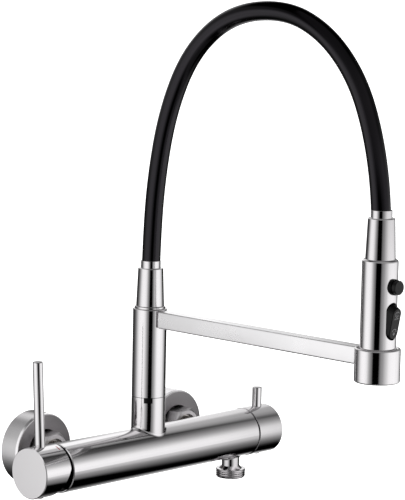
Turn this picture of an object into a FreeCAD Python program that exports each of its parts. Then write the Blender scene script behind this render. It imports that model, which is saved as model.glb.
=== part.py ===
import FreeCAD, Part
import math
import os

from FreeCAD import Vector

# A wall-mounted bar mixer with a riser, a flat arm, a docking ring and a hose-fed spray head.
# Millimetres. The origin is on the wall, midway between the two inlets, at the bar's height.
# +X runs along the bar to the right, +Y goes into the wall and +Z is up.

# Clearances
running_clearance = 0.05
thread_clearance = 0.05
press_clearance = 0.02
butt_gap = 0.1
seat_gap = 0.3

# Bar and its ends
bar_diameter = 41.2
bar_past_right_inlet = 23.2
wall_to_bar = 78.5
end_chamfer = 0.6
chamber_wall = 2.25

# Wall side
inlet_spacing = 160.0
eccentric_offset = 5.0
flange_diameter = 62.4
flange_depth = 19.7
flange_wall = 1.5
flange_hole_clearance = 0.6
flange_bevel = 1.0
wall_thread_radius = 10.48
wall_thread_length = 20.0
union_thread_radius = 13.22
union_bore_radius = 6.5
union_foot_length = 2.0
union_disc_radius = 15.5
union_disc_thickness = 6.0
union_face_from_wall = 24.0
seal_thickness = 2.0
seal_inset = 0.4
nut_wall = 1.73
nut_length = 17.3
nut_lip = 3.0
nut_turn = 5.0
nut_lip_overlap = 1.0
nut_face_inset = 0.3
nut_chamfer_angle = 30.0
inlet_collar_inset = 0.62
inlet_collar_length = 3.0
inlet_neck_radius = 9.5
inlet_bore_radius = 4.2
inlet_thread_radius = 6.4
inlet_thread_bottom = 11.0
inlet_spot_face = 16.0
check_valve_radius = 7.0
check_valve_length = 13.0
check_valve_bore_radius = 2.6
check_valve_nose = 1.5

# Waterways in the bar, each with its offset from the bar's axis towards the wall and upwards
channel_radius = 3.0
cartridge_port_radius = 2.6
hot_offset = (9.0, 0.0)
cold_offset = (7.0, -9.0)
mixed_offset = (-7.0, -1.0)
riser_feed_height = 6.5

# Riser, swivel and top fittings
riser_x = -15.4
riser_diameter = 28.8
riser_wall = 2.0
riser_length = 74.7
riser_rim_radius = 0.6
socket_rise = 11.2
socket_floor_z = 8.0
socket_neck_height = 5.2
socket_neck_wall = 2.1
socket_fillet = 3.0
swivel_screw_drop = 4.5
swivel_screw_bite = 0.7
swivel_groove_depth = 1.1
collar_height = 15.7
bush_flange = 0.4
bush_flange_inset = 0.5
bush_wall = 1.8
spigot_inset = 3.8
spigot_wall = 3.0
spigot_lead_in = 0.8
spigot_cup_depth = 14.0
spigot_floor_gap = 1.5
oring_section = 1.3
oring_offsets = (3.0, 7.5)
oring_groove_play = 0.25
key_width = 7.1
key_height = 4.1
key_bearing = 46.0
key_root = 2.5
shoulder_diameter = 26.0
shoulder_height = 2.0
shoulder_edge_radius = 0.4
lower_connector_depth = 22.0
cone_bottom_diameter = 23.8
cone_top_diameter = 21.3
cone_height = 32.4
cone_top_edge_radius = 0.8
cone_sunk = 0.6
ferrule_height = 6.0
ferrule_wall = 0.25
ferrule_clearance = 0.25

# Arm and docking ring
arm_reach = 249.0
arm_width = 12.0
arm_height = 14.3
arm_below_riser_top = 0.9
arm_end_gap = 1.4
arm_boss_radius = 4.5
arm_edge_radius = 0.4
ring_wall = 2.95
ring_height = 26.75
ring_above_arm = 0.75
ring_rim_flat = 0.25
liner_wall = 0.53
liner_below_rim = 2.0
liner_seat_width = 1.2
liner_seat_thickness = 1.4
head_above_ring_foot = 2.3

# Hose
hose_diameter = 15.7
jacket_wall = 2.35
liner_hose_wall = 1.7
hose_above_riser = 14.3
hose_in_cone = 14.6
hose_lower_run = 31.5
hose_upper_run = 29.0
barb_wall = 1.1
barb_length = 14.0

# Handles
handle_diameter = 42.2
lever_cap_length = 27.5
diverter_cap_length = 29.3
handle_wall = 2.5
handle_end_wall = 5.0
handle_edge_radius = 0.6
left_gap = 3.2
right_gap = 0.6
pin_diameter = 8.4
pin_bevel = 0.5
lever_from_end = 11.4
stub_from_end = 12.2
pin_foot_wall = 1.0
lever_top_z = 91.3
stub_top_z = 38.1
lever_lean = 2.9
rim_cut_angle = 23.0
rim_cut_start_z = 4.5
boss_radius = 8.0
boss_short_of_rim = 4.0
square_hole_depth = 7.5
square_play = 0.1
scoop_radius = 12.0
scoop_depth = 1.2
stem_side = 8.0
grub_radius = 2.5
grub_socket_depth = 1.6
handle_screw_length = 8.0
plug_radius = 3.4
plug_depth = 1.0
plug_proud = 0.8
plug_edge_radius = 0.6
index_from_rim = 3.9
index_width = 1.1
index_depth = 0.6
index_bearings = (16.0, 30.0)

# Mixing cartridge
cartridge_length = 23.2
cartridge_wall = 2.0
cartridge_nut_wall = 1.45
cartridge_nut_length = 8.0
cartridge_nut_bevel = 0.6
cartridge_nut_proud = 0.3
nut_slot_count = 4
nut_slot_radius = 1.1
nut_slot_depth = 2.5
carrier_radius = 8.95
carrier_length = 12.0
carrier_pin_radius = 1.5
stem_neck_half = 2.8
stem_neck_past_pin = 2.5
stem_wrist_radius = 1.4
stem_tilt_room = 3.1
lever_pivot_depth = 7.1
drive_ball_radius = 2.4
drive_ball_reach = 9.0
drive_ball_play = 0.4
moving_disc_radius = 8.5
moving_disc_floor = 0.8
disc_travel = 3.5
disc_thickness = 3.5
disc_port_radius = 2.4
disc_port_share = 0.75

# Diverter
outlet_past_right_inlet = 8.5
headwork_radius = 9.0
headwork_depth = 18.3
headwork_wall = 2.0
headwork_cavity_depth = 9.0
headwork_flange_radius = 11.5
headwork_flange_thickness = 4.0
headwork_window_radius = 3.2
spindle_radius = 4.0
spindle_disc_thickness = 2.5
spindle_past_flange = 1.0
outlet_neck_radius = 7.8
outlet_neck_drop = 7.2
outlet_fillet = 2.0
outlet_cone_radius = 10.2
outlet_cone_height = 2.4
outlet_thread_radius = 13.22
outlet_thread_length = 7.8
outlet_thread_chamfer = 0.8
outlet_spigot_wall = 1.8
outlet_spigot_length = 9.0
nipple_wall = 1.4
outlet_bore_radius = 3.5

# Spray head: "depth" is below the surface of its tube and "proud" is beyond it
head_diameter = 28.5
head_length = 94.0
head_wall = 1.25
head_shoulder_radius = 2.1
head_top_thickness = 3.0
head_edge_radius = 0.4
core_clearance = 0.1
core_above_foot = 8.0
core_below_top = 6.0
waterway_radius = 2.5
waterway_behind = 6.0
connector_radius = 8.0
connector_length = 10.0
connector_flange_length = 3.0
connector_seal_height = 2.4
connector_seal_section = 1.15
connector_groove_depth = 1.2
clip_thickness = 1.2
clip_below_core_top = 2.5
clip_bite = 0.7
clip_opening = 4.0
button_below_top = 20.5
button_radius = 5.6
button_proud = 5.75
button_travel = 2.5
button_cap_thickness = 4.0
button_seat_depth = 5.85
button_stem_radius = 2.0
button_edge_radius = 0.5
bellows_proud = 2.05
bellows_depth = 4.25
bellows_wall = 0.35
spring_wire_radius = 0.35
spring_coil_radius = 2.85
spring_turns = 4
rocker_below_button = 26.8
rocker_end_gap = 0.5
rocker_side_gap = 0.3
rocker_base_length = 28.4
rocker_base_width = 12.0
rocker_base_depth = 2.85
rocker_face_length = 24.5
rocker_face_width = 9.8
rocker_proud = 3.0
rocker_edge_radius = 0.7
rocker_tilt = 11.0
rocker_pivot_depth = 5.25
rocker_pocket_depth = 7.85
rocker_pin_radius = 1.0
rocker_hub_radius = 2.2
rocker_hub_width = 7.6
rocker_web_half = 2.0
rocker_foot_half = 1.1
rocker_foot_reach = 6.0
ear_above_pin = 1.6
ear_height = 5.0
spool_radius = 3.0
spool_waist_depth = 1.6
spool_foot_play = 0.6
spool_past_foot = 2.0
spool_above_core_foot = 8.0
spool_travel = 2.0
spool_below_button = 9.5
face_thickness = 4.0
face_recess = 0.5
face_hole_count = 18
face_hole_radius = 0.6
aerator_radius = 5.5
aerator_recess = 0.9
aerator_wall = 1.2
aerator_plate_depth = 2.0
aerator_plate_thickness = 1.4
aerator_hole_count = 6
aerator_hole_radius = 0.75
aerator_hole_circle = 2.6

# Derived sizes
bar_radius = bar_diameter / 2
riser_radius = riser_diameter / 2
handle_radius = handle_diameter / 2
head_radius = head_diameter / 2
pin_radius = pin_diameter / 2
hose_radius = hose_diameter / 2
hose_stem_radius = hose_radius - jacket_wall - liner_hose_wall - butt_gap
connector_bore_radius = hose_stem_radius - barb_wall
ferrule_radius = hose_radius + ferrule_clearance + ferrule_wall
nut_bore_radius = union_thread_radius + thread_clearance
nut_across_flats = 2 * (nut_bore_radius + nut_wall)
inlet_collar_radius = union_thread_radius - inlet_collar_inset
nut_mouth_radius = inlet_collar_radius - nut_lip_overlap
spigot_radius = riser_radius - spigot_inset
disc_cavity_radius = moving_disc_radius + disc_travel
cartridge_radius = disc_cavity_radius + cartridge_wall
cartridge_neck_radius = carrier_radius + running_clearance + cartridge_wall
cartridge_nut_radius = cartridge_radius + cartridge_nut_wall
outlet_spigot_radius = outlet_neck_radius - outlet_spigot_wall
nipple_bore_radius = outlet_spigot_radius - nipple_wall
liner_radius = head_radius + seat_gap + liner_wall
ring_radius = liner_radius + press_clearance + ring_wall
ring_rim_radius = (ring_wall - ring_rim_flat) / 2

# Derived places
bar_y = -wall_to_bar
cartridge_room = cartridge_length + 2 * butt_gap + cartridge_nut_length
bar_left_end_x = -inlet_spacing / 2 - inlet_thread_radius - thread_clearance - chamber_wall - cartridge_room
bar_right_end_x = inlet_spacing / 2 + bar_past_right_inlet
bar_length = bar_right_end_x - bar_left_end_x
outlet_x = inlet_spacing / 2 + outlet_past_right_inlet
outlet_neck_bottom_z = -bar_radius - outlet_neck_drop
socket_top_z = bar_radius + socket_rise
collar_top_z = socket_top_z + collar_height
riser_bottom_z = collar_top_z + bush_flange
riser_top_z = riser_bottom_z + riser_length
shoulder_top_z = riser_top_z + shoulder_height
hose_start_z = riser_top_z + hose_above_riser
arm_top_z = riser_top_z - arm_below_riser_top
arm_bottom_z = arm_top_z - arm_height
ring_top_z = arm_top_z + ring_above_arm
ring_bottom_z = ring_top_z - ring_height
head_y = bar_y - arm_reach
head_bottom_z = ring_bottom_z + head_above_ring_foot
head_top_z = head_bottom_z + head_length
upper_cone_z = head_top_z - cone_sunk
upper_hose_end_z = upper_cone_z + hose_in_cone
button_z = head_top_z - button_below_top
rocker_z = button_z - rocker_below_button

X = Vector(1, 0, 0)
Y = Vector(0, 1, 0)
Z = Vector(0, 0, 1)
riser_axis = Vector(riser_x, bar_y, 0)
head_axis = Vector(riser_x, head_y, 0)


def rod(radius, start, end):
    """A round bar between two points."""
    return Part.makeCylinder(radius, (end - start).Length, start, end - start)


def sleeve(outer, inner, start, end):
    """A round tube between two points."""
    return rod(outer, start, end).cut(rod(inner, start, end))


def box(low, high):
    """A block between two opposite corners."""
    size = high - low
    return Part.makeBox(size.x, size.y, size.z, low)


def outline(corners, origin, u_dir, v_dir):
    """A closed wire through corners (u, v) or (u, v, radius), with tangent arcs at the radii."""
    points = [(Vector(c[0], c[1], 0), c[2] if len(c) > 2 else 0.0) for c in corners]
    joints = []
    for i, (point, radius) in enumerate(points):
        before = points[i - 1][0] - point
        after = points[(i + 1) % len(points)][0] - point
        before.normalize()
        after.normalize()
        if radius == 0:
            joints.append((point, None, point))
            continue
        half = before.getAngle(after) / 2
        middle = before + after
        middle.normalize()
        reach = radius / math.tan(half)
        nearest = point + middle * (radius / math.sin(half) - radius)
        joints.append((point + before * reach, nearest, point + after * reach))

    def place(p):
        return origin + u_dir * p.x + v_dir * p.y

    edges = []
    for i, (arrive, nearest, leave) in enumerate(joints):
        if nearest is not None:
            edges.append(Part.Arc(place(arrive), place(nearest), place(leave)).toShape())
        follow = joints[(i + 1) % len(joints)][0]
        if (follow - leave).Length > 1e-6:
            edges.append(Part.makeLine(place(leave), place(follow)))
    return Part.Wire(edges)


def turned(corners, base, axis):
    """A solid of revolution from corners (radius, height) or (radius, height, fillet)."""
    side = -Y if abs(axis.x) > 0.5 else X
    face = Part.Face(outline(corners, base, side, axis))
    return face.revolve(base, axis, 360)


def slab(corners, origin, u_dir, v_dir, travel):
    """A flat outline pushed along a vector."""
    return Part.Face(outline(corners, origin, u_dir, v_dir)).extrude(travel)


def stadium(length, width):
    """Corners of a slot outline, long along v."""
    r = width / 2 - 0.001
    u = width / 2
    v = length / 2
    return [(-u, -v, r), (u, -v, r), (u, v, r), (-u, v, r)]


def write(name, *solids):
    """Save one sub-part, a single solid or a group of separate ones."""
    shape = solids[0] if len(solids) == 1 else Part.makeCompound(list(solids))
    if not shape.isValid():
        print("not valid:", name)
    shape.exportStep("parts/" + name + ".step")


# Eccentric wall unions, their nuts, seals and flanges

union_face_y = -union_face_from_wall
inlet_face_y = union_face_y - seal_thickness
nut_front_y = inlet_face_y - inlet_collar_length - seat_gap - nut_lip
nut_corner_radius = nut_across_flats / math.sqrt(3)


def hexagon(across, turn=0):
    """Corners of a hexagon, turned by an angle from two level flats."""
    r = across / math.sqrt(3)
    angles = [math.radians(60 * k + turn) for k in range(6)]
    return [(r * math.cos(a), r * math.sin(a)) for a in angles]


def wall_flange(x):
    """A deep cup with a round hole in its front and a bright chamfer round it."""
    outer = flange_diameter / 2
    hole = nut_corner_radius + flange_hole_clearance
    bevel = flange_bevel
    profile = [(hole, flange_depth), (outer - bevel, flange_depth), (outer, flange_depth - bevel),
               (outer, 0), (outer - flange_wall, 0), (outer - flange_wall, flange_depth - flange_wall),
               (hole, flange_depth - flange_wall)]
    return turned(profile, Vector(x, 0, 0), -Y)


def eccentric_union(side):
    """The wall thread and the offset union thread, joined by a disc, bored through."""
    wall_x = side * (inlet_spacing / 2 - eccentric_offset)
    inlet_x = side * inlet_spacing / 2
    disc_back = -union_foot_length
    disc_front = disc_back - union_disc_thickness
    tip = Vector(wall_x, wall_thread_length, 0)
    thread = rod(wall_thread_radius, tip, Vector(wall_x, disc_back, 0))
    disc = rod(union_disc_radius, Vector(inlet_x, disc_back, 0), Vector(inlet_x, disc_front, 0))
    end = rod(union_thread_radius, Vector(inlet_x, disc_front, 0), Vector(inlet_x, union_face_y, 0))
    bores = [rod(union_bore_radius, tip, Vector(wall_x, disc_front + 1, 0)),
             rod(union_bore_radius, Vector(inlet_x, disc_back - 1, 0), Vector(inlet_x, union_face_y, 0))]
    return thread.fuse([disc, end]).cut(bores).removeSplitter()


def union_nut(side):
    """A hexagon nut that pulls the inlet collar on to the union."""
    start = Vector(side * inlet_spacing / 2, nut_front_y, 0)
    blank = slab(hexagon(nut_across_flats, nut_turn), start, X, Z, Y * nut_length)
    corner = nut_corner_radius + 0.1
    face = nut_across_flats / 2 - nut_face_inset
    drop = (corner - face) * math.tan(math.radians(nut_chamfer_angle))
    barrel = turned([(0, 0), (face, 0), (corner, drop), (corner, nut_length - drop), (face, nut_length),
                     (0, nut_length)], start, Y)
    nut = blank.common(barrel)
    mouth = rod(nut_mouth_radius, start, start + Y * nut_lip)
    bore = rod(nut_bore_radius, start + Y * nut_lip, start + Y * nut_length)
    return nut.cut([mouth, bore])


def inlet_seal(side):
    """A flat washer between the inlet collar and the union."""
    x = side * inlet_spacing / 2
    return sleeve(inlet_collar_radius - seal_inset, check_valve_radius + seal_inset,
                  Vector(x, inlet_face_y, 0), Vector(x, union_face_y, 0))


def check_valve(side):
    """A plastic non-return cartridge pushed into the inlet neck."""
    bore = check_valve_bore_radius
    r = check_valve_radius
    nose = check_valve_nose
    profile = [(bore, 0), (r - nose / 2, 0), (r, nose), (r, check_valve_length), (bore, check_valve_length)]
    start = Vector(side * inlet_spacing / 2, inlet_face_y - check_valve_length, 0)
    return turned(profile, start, Y)


def inlet_seat(side):
    """The neck screwed into the bar's back; its collar keeps the union nut on."""
    foot = inlet_thread_bottom + butt_gap
    collar = inlet_face_y - inlet_collar_length - bar_y
    face = inlet_face_y - bar_y
    valve = face - check_valve_length
    valve_hole = check_valve_radius + running_clearance
    spot = inlet_spot_face
    profile = [(inlet_bore_radius, foot), (inlet_thread_radius, foot), (inlet_thread_radius, spot),
               (inlet_neck_radius, spot), (inlet_neck_radius, collar),
               (inlet_collar_radius, collar), (inlet_collar_radius, face), (valve_hole, face),
               (valve_hole, valve), (inlet_bore_radius, valve)]
    return turned(profile, Vector(side * inlet_spacing / 2, bar_y, 0), Y)


# The bar

mouth_floor_x = bar_left_end_x + cartridge_nut_length
chamber_floor_x = mouth_floor_x + cartridge_length + 2 * butt_gap
headwork_floor_x = bar_right_end_x - headwork_depth


def channel(start_x, end_x, toward_wall, up):
    """A waterway along the bar, set off from its axis."""
    y = bar_y + toward_wall
    return rod(channel_radius, Vector(start_x, y, up), Vector(end_x, y, up))


def seam_edges(body, x, radius, side):
    """The edges where an upright branch of the given radius meets the bar, above it or below."""
    found = []
    for edge in body.Edges:
        extent = edge.BoundBox
        inside = x - radius - 0.5 < extent.XMin and extent.XMax < x + radius + 0.5
        low, high = sorted((side * extent.ZMin, side * extent.ZMax))
        if inside and low > bar_radius / 4 and high < bar_radius + 0.1:
            found.append(edge)
    return found


def inlet_hole(side, offset):
    """Cuts for an inlet neck: its spot face, its threaded hole and a drilling to its channel."""
    x = side * inlet_spacing / 2
    toward_wall, up = offset

    def at(distance):
        return Vector(x, bar_y + distance, 0)

    return [rod(inlet_neck_radius + running_clearance, at(inlet_spot_face), at(bar_radius + 1)),
            rod(inlet_thread_radius + thread_clearance, at(inlet_thread_bottom), at(bar_radius + 1)),
            rod(channel_radius, at(toward_wall) + Z * up, at(inlet_thread_bottom + 2))]


def mixer_body():
    """The bar with its riser socket, outlet neck, inlet holes, end chambers and waterways."""
    end = end_chamfer
    bar = turned([(0, 0), (bar_radius - end, 0), (bar_radius, end), (bar_radius, bar_length - end),
                  (bar_radius - end, bar_length), (0, bar_length)], Vector(bar_left_end_x, bar_y, 0), X)
    outlet = Vector(outlet_x, bar_y, 0)
    body = bar.fuse([rod(riser_radius, riser_axis, riser_axis + Z * socket_top_z),
                     rod(outlet_neck_radius, outlet, outlet + Z * outlet_neck_bottom_z)])
    body = body.makeFillet(socket_fillet, seam_edges(body, riser_x, riser_radius, 1))
    body = body.makeFillet(outlet_fillet, seam_edges(body, outlet_x, outlet_neck_radius, -1))
    neck_top = riser_axis + Z * (socket_top_z + socket_neck_height)
    neck = rod(spigot_radius + running_clearance + socket_neck_wall, riser_axis + Z * (socket_top_z - 1),
               neck_top)
    spigot_hole = rod(spigot_radius + running_clearance, riser_axis + Z * socket_floor_z, neck_top)
    nut_room = rod(cartridge_nut_radius + thread_clearance, Vector(bar_left_end_x, bar_y, 0),
                   Vector(mouth_floor_x, bar_y, 0))
    chamber = rod(cartridge_radius + running_clearance, Vector(mouth_floor_x, bar_y, 0),
                  Vector(chamber_floor_x, bar_y, 0))
    headwork_room = rod(headwork_radius + thread_clearance, Vector(headwork_floor_x, bar_y, 0),
                        Vector(bar_right_end_x, bar_y, 0))
    nipple_hole = rod(outlet_spigot_radius + thread_clearance, outlet + Z * outlet_neck_bottom_z,
                      outlet + Z * (outlet_neck_bottom_z + outlet_spigot_length))
    cuts = [spigot_hole, nut_room, chamber, headwork_room, nipple_hole, swivel_screw_hole(),
            rod(outlet_bore_radius, outlet, outlet - Z * bar_radius),
            channel(chamber_floor_x, -inlet_spacing / 2, *hot_offset),
            channel(chamber_floor_x, inlet_spacing / 2, *cold_offset),
            channel(chamber_floor_x, headwork_floor_x, *mixed_offset),
            channel(riser_x, headwork_floor_x, 0, riser_feed_height)]
    cuts += inlet_hole(-1, hot_offset) + inlet_hole(1, cold_offset)
    return body.fuse(neck).cut(cuts)


# Outlet for a second hose

def outlet_nipple():
    """A spigot screwed into the neck, a small cone and a threaded end for a hose union."""
    neck_end = outlet_neck_bottom_z
    cone_end = neck_end - outlet_cone_height
    end = cone_end - outlet_thread_length
    top = neck_end + outlet_spigot_length - butt_gap
    bore = nipple_bore_radius
    r = outlet_thread_radius
    chamfer = outlet_thread_chamfer
    profile = [(bore, end), (r - chamfer, end), (r, end + chamfer), (r, cone_end - chamfer / 2),
               (r - chamfer / 2, cone_end), (outlet_cone_radius, cone_end), (outlet_neck_radius, neck_end),
               (outlet_spigot_radius, neck_end), (outlet_spigot_radius, top), (bore, top)]
    return turned(profile, Vector(outlet_x, bar_y, 0), Z)


# Swivel between the bar and the column

def bearing(point_radius, z, degrees):
    """A point round the riser, from the front towards the left."""
    a = math.radians(degrees)
    return Vector(riser_x - point_radius * math.sin(a), bar_y - point_radius * math.cos(a), z)


def swivel_screw_hole():
    """The threaded hole at the back of the socket."""
    z = socket_top_z - swivel_screw_drop
    return rod(grub_radius + thread_clearance, bearing(spigot_radius - 1, z, 180),
               bearing(riser_radius + 2, z, 180))


def grub_screw(start, direction, length, radius):
    """A headless screw with a hexagon socket in its outer end."""
    screw = rod(radius, start, start + direction * length)
    side = X if abs(direction.x) < 0.5 else Y
    other = direction.cross(side)
    floor = start + direction * (length - grub_socket_depth)
    key = slab(hexagon(radius), floor, side, other, direction * (grub_socket_depth + 1))
    return screw.cut(key)


def swivel_screw():
    """It runs in a groove of the spigot, so that the column turns but can't lift."""
    z = socket_top_z - swivel_screw_drop
    start = bearing(spigot_radius - swivel_screw_bite, z, 180)
    return grub_screw(start, Y, spigot_inset + swivel_screw_bite - seat_gap, grub_radius)


bush_radius = spigot_radius + running_clearance + bush_wall


def key_block(width, height, inner, outer):
    """The block that shows in the collar's notch, before its outer face is rounded."""
    a = math.radians(key_bearing)
    outward = Vector(-math.sin(a), -math.cos(a), 0)
    across = Vector(math.cos(a), -math.sin(a), 0)
    base = riser_axis + outward * inner + Z * (collar_top_z - height)
    corners = [(-width / 2, 0), (width / 2, 0), (width / 2, height + 1), (-width / 2, height + 1)]
    return slab(corners, base, across, Z, outward * (outer - inner))


def swivel_collar():
    """The ring that screws on the socket and holds the bush, with a notch for its key."""
    thread = spigot_radius + running_clearance + socket_neck_wall + thread_clearance
    step = socket_top_z + socket_neck_height + butt_gap
    profile = [(thread, socket_top_z), (riser_radius, socket_top_z), (riser_radius, collar_top_z),
               (bush_radius + running_clearance, collar_top_z), (bush_radius + running_clearance, step),
               (thread, step)]
    collar = turned(profile, riser_axis, Z)
    notch = key_block(key_width + seat_gap, key_height + seat_gap / 2, riser_radius - key_root - 1,
                      riser_radius + 1)
    return collar.cut(notch)


def swivel_bush():
    """A black plastic bearing with a thin flange on the collar and a key in its notch."""
    bore = spigot_radius + running_clearance
    bottom = socket_top_z + socket_neck_height + 2 * butt_gap
    top = riser_bottom_z - butt_gap
    rim = riser_radius - bush_flange_inset
    bush = turned([(bore, bottom), (bush_radius, bottom), (bush_radius, collar_top_z), (rim, collar_top_z),
                   (rim, top), (bore, top)], riser_axis, Z)
    key = key_block(key_width, key_height, riser_radius - key_root, riser_radius + 1)
    limit = rod(riser_radius - butt_gap, riser_axis, riser_axis + Z * top)
    return bush.fuse(key.common(limit)).removeSplitter()


# Column: spigot, riser tube and the fittings on top

spigot_bottom_z = socket_floor_z + spigot_floor_gap
oring_levels = [spigot_bottom_z + offset for offset in oring_offsets]
spigot_joint_z = riser_bottom_z + spigot_cup_depth


def groove(radius, z, half_height, depth):
    """A ring cut into a shaft on the riser's axis."""
    return sleeve(radius + 1, radius - depth, riser_axis + Z * (z - half_height),
                  riser_axis + Z * (z + half_height))


def column_spigot():
    """The brass tube that turns in the socket, with two ring grooves and a screw groove."""
    inner = spigot_radius - spigot_wall
    plug = riser_radius - riser_wall - press_clearance
    profile = [(inner, spigot_bottom_z), (spigot_radius - spigot_lead_in, spigot_bottom_z),
               (spigot_radius, spigot_bottom_z + spigot_lead_in), (spigot_radius, riser_bottom_z),
               (plug, riser_bottom_z), (plug, spigot_joint_z), (inner, spigot_joint_z)]
    half = oring_section / 2 + oring_groove_play
    cuts = [groove(spigot_radius, z, half, oring_section) for z in oring_levels]
    cuts.append(groove(spigot_radius, socket_top_z - swivel_screw_drop, grub_radius + seat_gap,
                       swivel_groove_depth))
    return turned(profile, riser_axis, Z).cut(cuts)


def round_seal(centre, axis, outer_radius, section):
    """One O-ring, as a torus."""
    return Part.makeTorus(outer_radius - section / 2, section / 2, centre, axis)


def swivel_orings():
    """Two rings that seal the spigot in the socket."""
    outer = spigot_radius + running_clearance / 2
    return [round_seal(riser_axis + Z * z, Z, outer, oring_section) for z in oring_levels]


def riser_tube():
    """The vertical tube of the column."""
    inner = riser_radius - riser_wall
    profile = [(inner, riser_bottom_z), (riser_radius, riser_bottom_z),
               (riser_radius, riser_top_z, riser_rim_radius), (inner, riser_top_z)]
    return turned(profile, riser_axis, Z)


cone_bore_radius = hose_radius + seat_gap
hose_neck_radius = cone_bore_radius - running_clearance


def lower_connector():
    """The brass fitting that closes the riser's top and carries the hose on a barb."""
    bottom = riser_top_z - lower_connector_depth
    plug = riser_radius - riser_wall - press_clearance
    top = hose_start_z - butt_gap
    corners = [(connector_bore_radius, bottom), (plug, bottom), (plug, riser_top_z),
               (hose_neck_radius, riser_top_z), (hose_neck_radius, top), (hose_stem_radius, top),
               (hose_stem_radius, top + barb_length), (connector_bore_radius, top + barb_length)]
    return turned(corners, riser_axis, Z)


def shoulder_ring():
    """The thin ring between the riser and the lower cone."""
    r = shoulder_diameter / 2
    edge = shoulder_edge_radius
    profile = [(cone_bore_radius, riser_top_z), (r, riser_top_z, edge), (r, shoulder_top_z, edge),
               (cone_bore_radius, shoulder_top_z)]
    return turned(profile, riser_axis, Z)


def hose_cone(axis, z):
    """A tapered sleeve over the hose's end."""
    top = z + cone_height
    profile = [(cone_bore_radius, z), (cone_bottom_diameter / 2, z, cone_top_edge_radius / 2),
               (cone_top_diameter / 2, top, cone_top_edge_radius), (cone_bore_radius, top)]
    return turned(profile, axis, Z)


def hose_ferrule(axis, z):
    """A short thin ferrule that grips the hose above its cone."""
    inner = ferrule_radius - ferrule_wall
    top = z + ferrule_height
    profile = [(inner, z), (ferrule_radius, z), (ferrule_radius, top, ferrule_wall / 2), (inner, top)]
    return turned(profile, axis, Z)


# Arm and docking ring

def arm():
    """A flat bar with a short boss on the riser, hollowed to the riser and to the docking ring."""
    half = arm_width / 2
    end_y = bar_y - riser_radius - arm_end_gap
    bar = box(Vector(riser_x - half, head_y, arm_bottom_z), Vector(riser_x + half, end_y, arm_top_z))
    sides = [e for e in bar.Edges if e.BoundBox.YLength > arm_height or e.BoundBox.YMin > end_y - 1]
    bar = bar.makeFillet(arm_edge_radius, sides)
    boss_z = (arm_top_z + arm_bottom_z) / 2
    boss = rod(arm_boss_radius, Vector(riser_x, end_y - 1, boss_z), Vector(riser_x, bar_y, boss_z))
    low = Z * (arm_bottom_z - 1)
    high = Z * (arm_top_z + 1)
    ends = [rod(riser_radius + press_clearance, riser_axis + low, riser_axis + high),
            rod(ring_radius + press_clearance, head_axis + low, head_axis + high)]
    return bar.fuse(boss).cut(ends)


def dock_ring():
    """A short wide tube with rounded rims that holds the spray head."""
    inner = ring_radius - ring_wall
    rim = ring_rim_radius
    profile = [(inner, ring_bottom_z, rim), (ring_radius, ring_bottom_z, rim),
               (ring_radius, ring_top_z, rim), (inner, ring_top_z, rim)]
    return turned(profile, head_axis, Z)


def dock_liner():
    """A black plastic sleeve inside the ring, which guides the head and has its seat."""
    lip = head_radius - liner_seat_width
    inner = head_radius + seat_gap
    seat = head_bottom_z - seat_gap
    bottom = seat - liner_seat_thickness
    top = ring_top_z - liner_below_rim
    return turned([(lip, bottom), (liner_radius, bottom), (liner_radius, top), (inner, top), (inner, seat),
                   (lip, seat)], head_axis, Z)


# Hose: points of its route, as distance in front of the bar's axis and height

hose_route = [(0, hose_start_z), (0, hose_start_z + hose_lower_run), (4, 230.5), (17, 291.5), (43, 341.5),
              (87, 373.5), (145, 379.5), (188, 362.5), (220.5, 329.5), (239, 286.5),
              (arm_reach, upper_hose_end_z + hose_upper_run), (arm_reach, upper_hose_end_z)]


def arc_inside(arrive, corner, leave):
    """The arc that leaves and arrives along the two sides of a corner, and its radius."""
    back = arrive - corner
    on = leave - corner
    half_turn = (math.pi - back.getAngle(on)) / 2
    radius = back.Length / math.tan(half_turn)
    middle = arrive + leave - corner * 2
    middle.normalize()
    nearest = corner + middle * (radius / math.cos(half_turn) - radius)
    return Part.Arc(arrive, nearest, leave).toShape(), radius


def hose_path():
    """Straight runs joined by tangent arcs, each as large as its two runs allow."""
    points = [Vector(riser_x, bar_y - d, z) for d, z in hose_route]
    edges = []
    leave = points[0]
    radii = []
    for before, point, after in zip(points, points[1:], points[2:]):
        back = before - point
        on = after - point
        reach = 0.45 * min(back.Length, on.Length)
        back.normalize()
        on.normalize()
        arrive = point + back * reach
        arc, radius = arc_inside(arrive, point, point + on * reach)
        edges.append(Part.makeLine(leave, arrive))
        edges.append(arc)
        radii.append(round(radius, 1))
        leave = point + on * reach
    edges.append(Part.makeLine(leave, points[-1]))
    print("hose radii:", radii, "least in diameters:", round(min(radii) / hose_diameter, 1))
    return Part.Wire(edges)


def hose_tube(path, outer, inner):
    """A tube swept along the route, with its volume checked."""
    start = path.Edges[0].Vertexes[0].Point

    def swept(radius):
        ring = Part.Wire(Part.makeCircle(radius, start, Z))
        return path.makePipeShell([ring], True, False)

    tube = swept(outer).cut(swept(inner))
    expected = math.pi * (outer ** 2 - inner ** 2) * path.Length
    print("hose tube length", round(path.Length, 1), "volume ratio", round(tube.Volume / expected, 4))
    return tube


# Mixing lever

pin_foot = stem_side / 2 + pin_foot_wall
plug_foot = handle_radius - handle_wall - plug_depth
handle_left_x = bar_left_end_x - left_gap - lever_cap_length
lever_pin_x = handle_left_x + lever_from_end
pivot_x = bar_left_end_x + lever_pivot_depth


def lever_direction():
    """The lever leans a little outwards."""
    a = math.radians(lever_lean)
    return Vector(-math.sin(a), 0, math.cos(a))


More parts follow.
